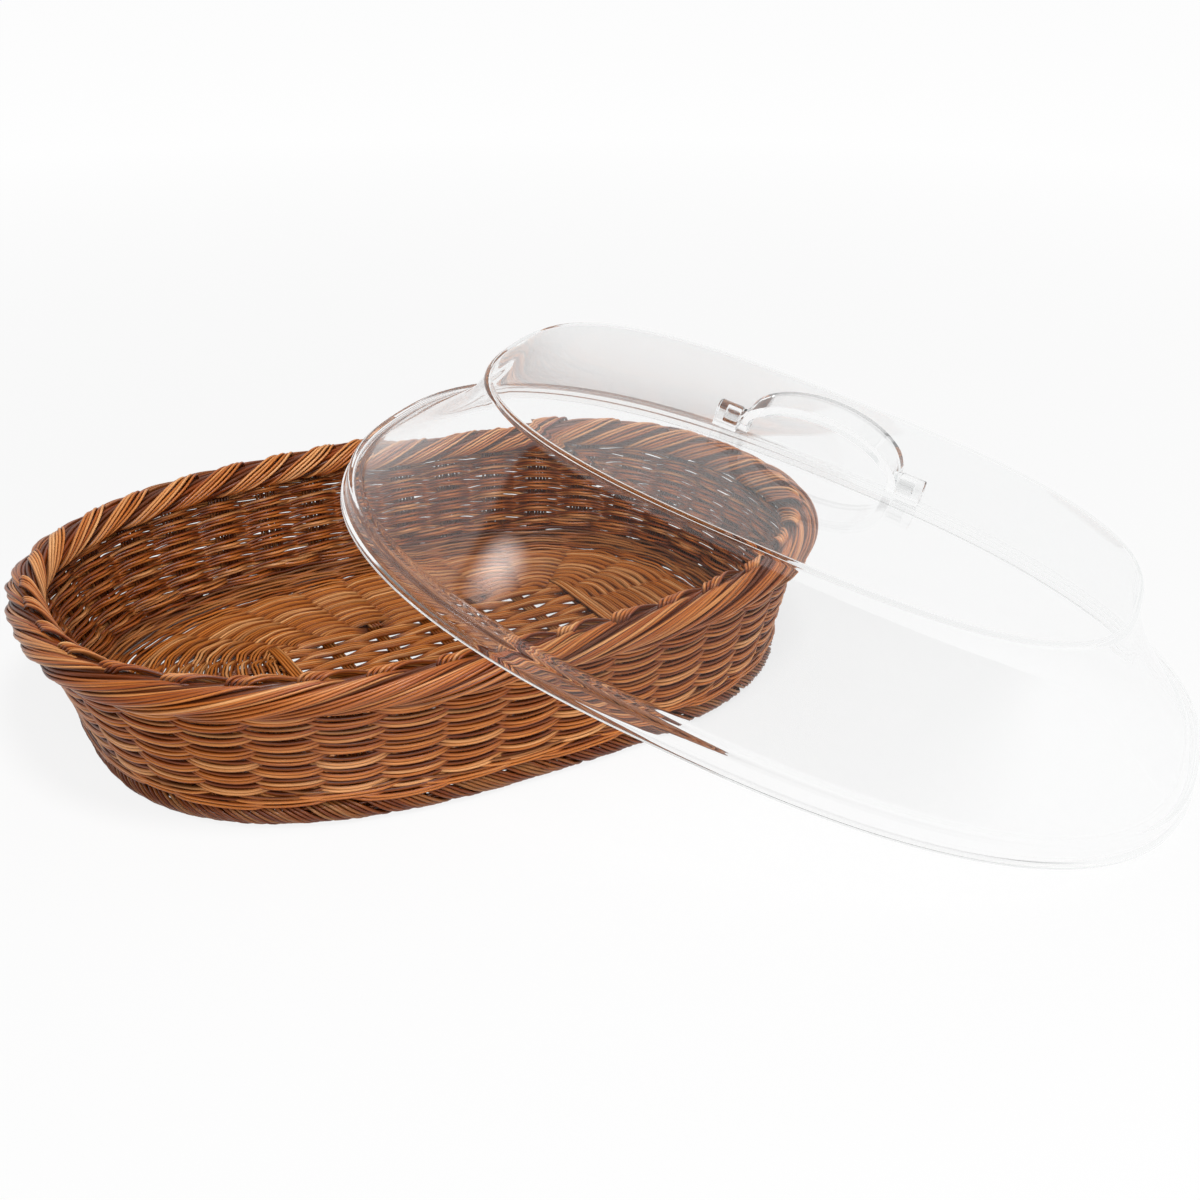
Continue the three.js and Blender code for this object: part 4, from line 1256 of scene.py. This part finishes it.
class BASKET_OT_lugs(bpy.types.Operator):
    """Makes the two lugs that hold the handle's pins"""

    bl_idname = "basket.make_lugs"
    bl_label = "Make Lugs"

    def execute(self, context):
        lid = context.scene.lid_sizes
        half_length, _ = lid_half(lid, context.scene.basket_sizes)
        near = lid.span / 2 + lid.lug_gap
        far = near + lid.lug_length
        axis_height = crown_height(lid, 0) + lid.pin_height
        scale = near / (half_length - crown_inset(lid))
        seat = crown_height(lid, scale) + lid.seat_gap - axis_height
        for name, side in (("right", 1), ("left", -1)):
            barrel = rod_along_x(lid.lug, side * near, side * far, LUG_SIDES)
            bevel(barrel, LUG_BEVEL, 60)
            bpy.ops.object.select_all(action="DESELECT")
            middle = (side * (near + far) / 2, 0, seat / 2)
            bpy.ops.mesh.primitive_cube_add(size=1, location=middle)
            foot = context.object
            foot.scale = (lid.lug_length - FOOT_INSET, lid.lug_foot, -seat)
            apply_transform()
            combine(barrel, foot, "UNION")
            bore_end = side * (near + lid.pin_length + lid.pin_clearance)
            bore_start, width = side * (near - BORE_LEAD), lid.pin + 2 * lid.pin_clearance
            combine(barrel, rod_along_x(width, bore_start, bore_end), "DIFFERENCE")
            finish_on_crown(lid, barrel, f"lug_barrel_{name}", "lid", f"lug_{name}")
        return {"FINISHED"}


# Studio

FLOOR_SIZE = 14
FLOOR_HEIGHT = -0.0002
FLOOR_LIT, FLOOR_SEEN = (0.8, 0.8, 0.8, 1), (0.11, 0.11, 0.11, 1)
# How bright the floor is where it is seen, and the distances between which that rises
FLOOR_GLOW, GLOW_REACH = (0.86, 0.96), (0.35, 1.6)
# Place, target and size of each lamp
KEY_LAMP = ((-0.05, -0.62, 1.5), (-0.03, -0.02, 0.03), 0.45)
FILL_LAMP = ((-0.5, -1.5, 0.9), (0.0, 0, 0.04), 1.2)
SPARK_LAMP = ((-0.85, 0.0, 1.45), (0.0, -0.17, 0.09), 0.4)
# The bright parts of what mirrors see: heading, where each fades in, and its node's place
MIRROR_WHITES = ((69, -0.02, 0.04, -200), (-10, 0.0, 0.6, -450))
MIRROR_GREY = 0.2


def round_lamp(name, place, target, size, power):
    data = bpy.data.lights.new(name, "AREA")
    data.shape = "DISK"
    data.size = size
    data.energy = power
    lamp = bpy.data.objects.new(name, data)
    aim_at(lamp, place, target)
    bpy.context.scene.collection.objects.link(lamp)
    return lamp


def aim_at(thing, place, target):
    thing.location = place
    thing.rotation_euler = (Vector(target) - Vector(place)).to_track_quat("-Z", "Y").to_euler()


def strand_lamp_receivers():
    """What the two big lamps light: basket and floor, so that they leave no glare in the lid."""
    if "strand_lamp_receivers" in bpy.data.collections:
        return bpy.data.collections["strand_lamp_receivers"]
    return bpy.data.collections.new("strand_lamp_receivers")


def seen_directly(tree):
    """1 for rays that see the background: from the camera, mirrored or through clear plastic."""
    rays = node(tree, "LightPath", (-900, 300)).outputs
    first = calculate(tree, (-700, 300), "MAXIMUM", rays["Is Camera Ray"], rays["Is Glossy Ray"])
    return calculate(tree, (-500, 300), "MAXIMUM", first, rays["Is Transmission Ray"])


class BASKET_OT_studio(bpy.types.Operator):
    """Sets the pale floor, the soft lamps and the camera"""

    bl_idname = "basket.set_studio"
    bl_label = "Set Studio"

    def execute(self, context):
        scene, studio = context.scene, context.scene.studio_settings
        self.world(scene, studio.world_strength)
        bpy.ops.object.select_all(action="DESELECT")
        bpy.ops.mesh.primitive_plane_add(size=FLOOR_SIZE, location=(0, 0, FLOOR_HEIGHT))
        floor = context.object
        floor.name = "studio_floor"
        apply_transform()
        floor.data.materials.append(self.floor_material())
        strand_lamp_receivers().objects.link(floor)

        key = round_lamp("key_lamp", *KEY_LAMP, studio.key_power)
        fill = round_lamp("fill_lamp", *FILL_LAMP, studio.fill_power)
        for lamp in (key, fill):
            lamp.visible_transmission = False
            lamp.light_linking.receiver_collection = strand_lamp_receivers()
        self.soften(round_lamp("spark_lamp", *SPARK_LAMP, studio.spark_power).data)

        data = bpy.data.cameras.new("photo_camera")
        data.sensor_width = 36
        data.lens = studio.focal_length
        data.clip_start = 0.01
        data.clip_end = 50
        camera = bpy.data.objects.new("photo_camera", data)
        aim_at(camera, studio.camera_place, studio.camera_target)
        scene.collection.objects.link(camera)
        scene.camera = camera
        scene.view_settings.view_transform = "Standard"
        return {"FINISHED"}

    def world(self, scene, strength):
        """Even light, and a white background where it is seen."""
        scene.world = bpy.data.worlds.new("Studio")
        scene.world.use_nodes = True
        tree = scene.world.node_tree
        light = tree.nodes["Background"]
        light.inputs["Color"].default_value = (1, 1, 1, 1)
        light.inputs["Strength"].default_value = strength
        inputs = {"Color": self.surroundings(tree), "Strength": 1.0}
        white = node(tree, "Background", (0, -200), inputs).outputs["Background"]
        seen = seen_directly(tree)
        mix = mixed_shader(tree, (250, 0), seen, light.outputs["Background"], white)
        feed(tree, tree.nodes["World Output"].inputs["Surface"], mix)

    def surroundings(self, tree):
        """What mirrors see: white behind and to the right, and grey to the left of the camera."""
        place = node(tree, "TexCoord", (-1300, -200)).outputs["Generated"]
        rays = node(tree, "LightPath", (-900, -600)).outputs
        levels = []
        for heading, start, end, y in MIRROR_WHITES:
            turn = math.radians(heading)
            towards = (math.cos(turn), math.sin(turn), 0)
            turned = vectors(tree, (-1100, y), "DOT_PRODUCT", place, towards)["Value"]
            level = ramp(tree, (-900, y), turned, start, end, MIRROR_GREY, 1.0, "SMOOTHSTEP")
            levels.append(level)
        both = calculate(tree, (-650, -300), "MAXIMUM", *levels)
        return mixed(tree, (-350, -300), rays["Is Glossy Ray"], 1.0, both, "FLOAT")

    def soften(self, light):
        """Fades a lamp from its middle to its edge."""
        light.use_nodes = True
        tree = light.node_tree
        across = node(tree, "NewGeometry", (-900, 0)).outputs["Parametric"]
        off = vectors(tree, (-700, 0), "SUBTRACT", across, (0.5, 0.5, 0))["Vector"]
        reach = vectors(tree, (-500, 0), "LENGTH", off)["Value"]
        fade = ramp(tree, (-300, 0), reach, 0.0, 0.5, 1.0, 0.0, "SMOOTHSTEP")
        feed(tree, tree.nodes["Emission"].inputs["Strength"], fade)

    def floor_material(self):
        """A floor that glows where it is seen, a little more further out, and takes shadows."""
        material, tree = new_material("pale_floor")
        tree.nodes.remove(tree.nodes["Principled BSDF"])
        plain = node(tree, "BsdfDiffuse", (-200, 100), {"Color": FLOOR_LIT}).outputs["BSDF"]
        shaded = node(tree, "BsdfDiffuse", (-200, -100), {"Color": FLOOR_SEEN}).outputs["BSDF"]
        place = node(tree, "TexCoord", (-800, -250)).outputs["Object"]
        away = vectors(tree, (-600, -250), "LENGTH", place)["Value"]
        lift = ramp(tree, (-400, -250), away, *GLOW_REACH, *FLOOR_GLOW)
        glow = node(tree, "Emission", (-200, -250), {"Strength": lift}).outputs["Emission"]
        bright = node(tree, "AddShader", (0, -150), {0: shaded, 1: glow}).outputs["Shader"]
        mix = mixed_shader(tree, (200, 0), seen_directly(tree), plain, bright)
        feed(tree, tree.nodes["Material Output"].inputs["Surface"], mix)
        return material


class BASKET_PT_panel(bpy.types.Panel):
    """Buttons for each piece of the basket, its lid and the studio"""

    bl_idname = "BASKET_PT_panel"
    bl_label = "Bread Basket"
    bl_space_type = "VIEW_3D"
    bl_region_type = "UI"
    bl_category = "Bread Basket"

    def draw(self, context):
        for operator in OPERATORS:
            self.layout.operator(operator.bl_idname)
        for group in GROUPS:
            box = self.layout.box()
            settings = getattr(context.scene, group)
            for name in settings.bl_rna.properties.keys():
                if name not in {"rna_type", "name"}:
                    box.prop(settings, name)


GROUPS = {
    "basket_sizes": BasketSizes,
    "lid_sizes": LidSizes,
    "strand_colours": StrandColours,
    "studio_settings": StudioSettings,
}
OPERATORS = (
    BASKET_OT_base,
    BASKET_OT_foot,
    BASKET_OT_wall,
    BASKET_OT_rim,
    BASKET_OT_lid,
    BASKET_OT_handle,
    BASKET_OT_lugs,
    BASKET_OT_studio,
)
CLASSES = (*GROUPS.values(), *OPERATORS, BASKET_PT_panel)


def register():
    for item in CLASSES:
        bpy.utils.register_class(item)
    for name, group in GROUPS.items():
        setattr(bpy.types.Scene, name, PointerProperty(type=group))


def unregister():
    for name in GROUPS:
        delattr(bpy.types.Scene, name)
    for item in reversed(CLASSES):
        bpy.utils.unregister_class(item)


def main():
    register()
    bpy.ops.basket.set_studio()
    bpy.ops.basket.weave_base()
    bpy.ops.basket.wind_foot()
    bpy.ops.basket.weave_wall()
    bpy.ops.basket.roll_rim()
    bpy.ops.basket.draw_lid()
    bpy.ops.basket.bend_handle()
    bpy.ops.basket.make_lugs()


if __name__ == "__main__":
    main()
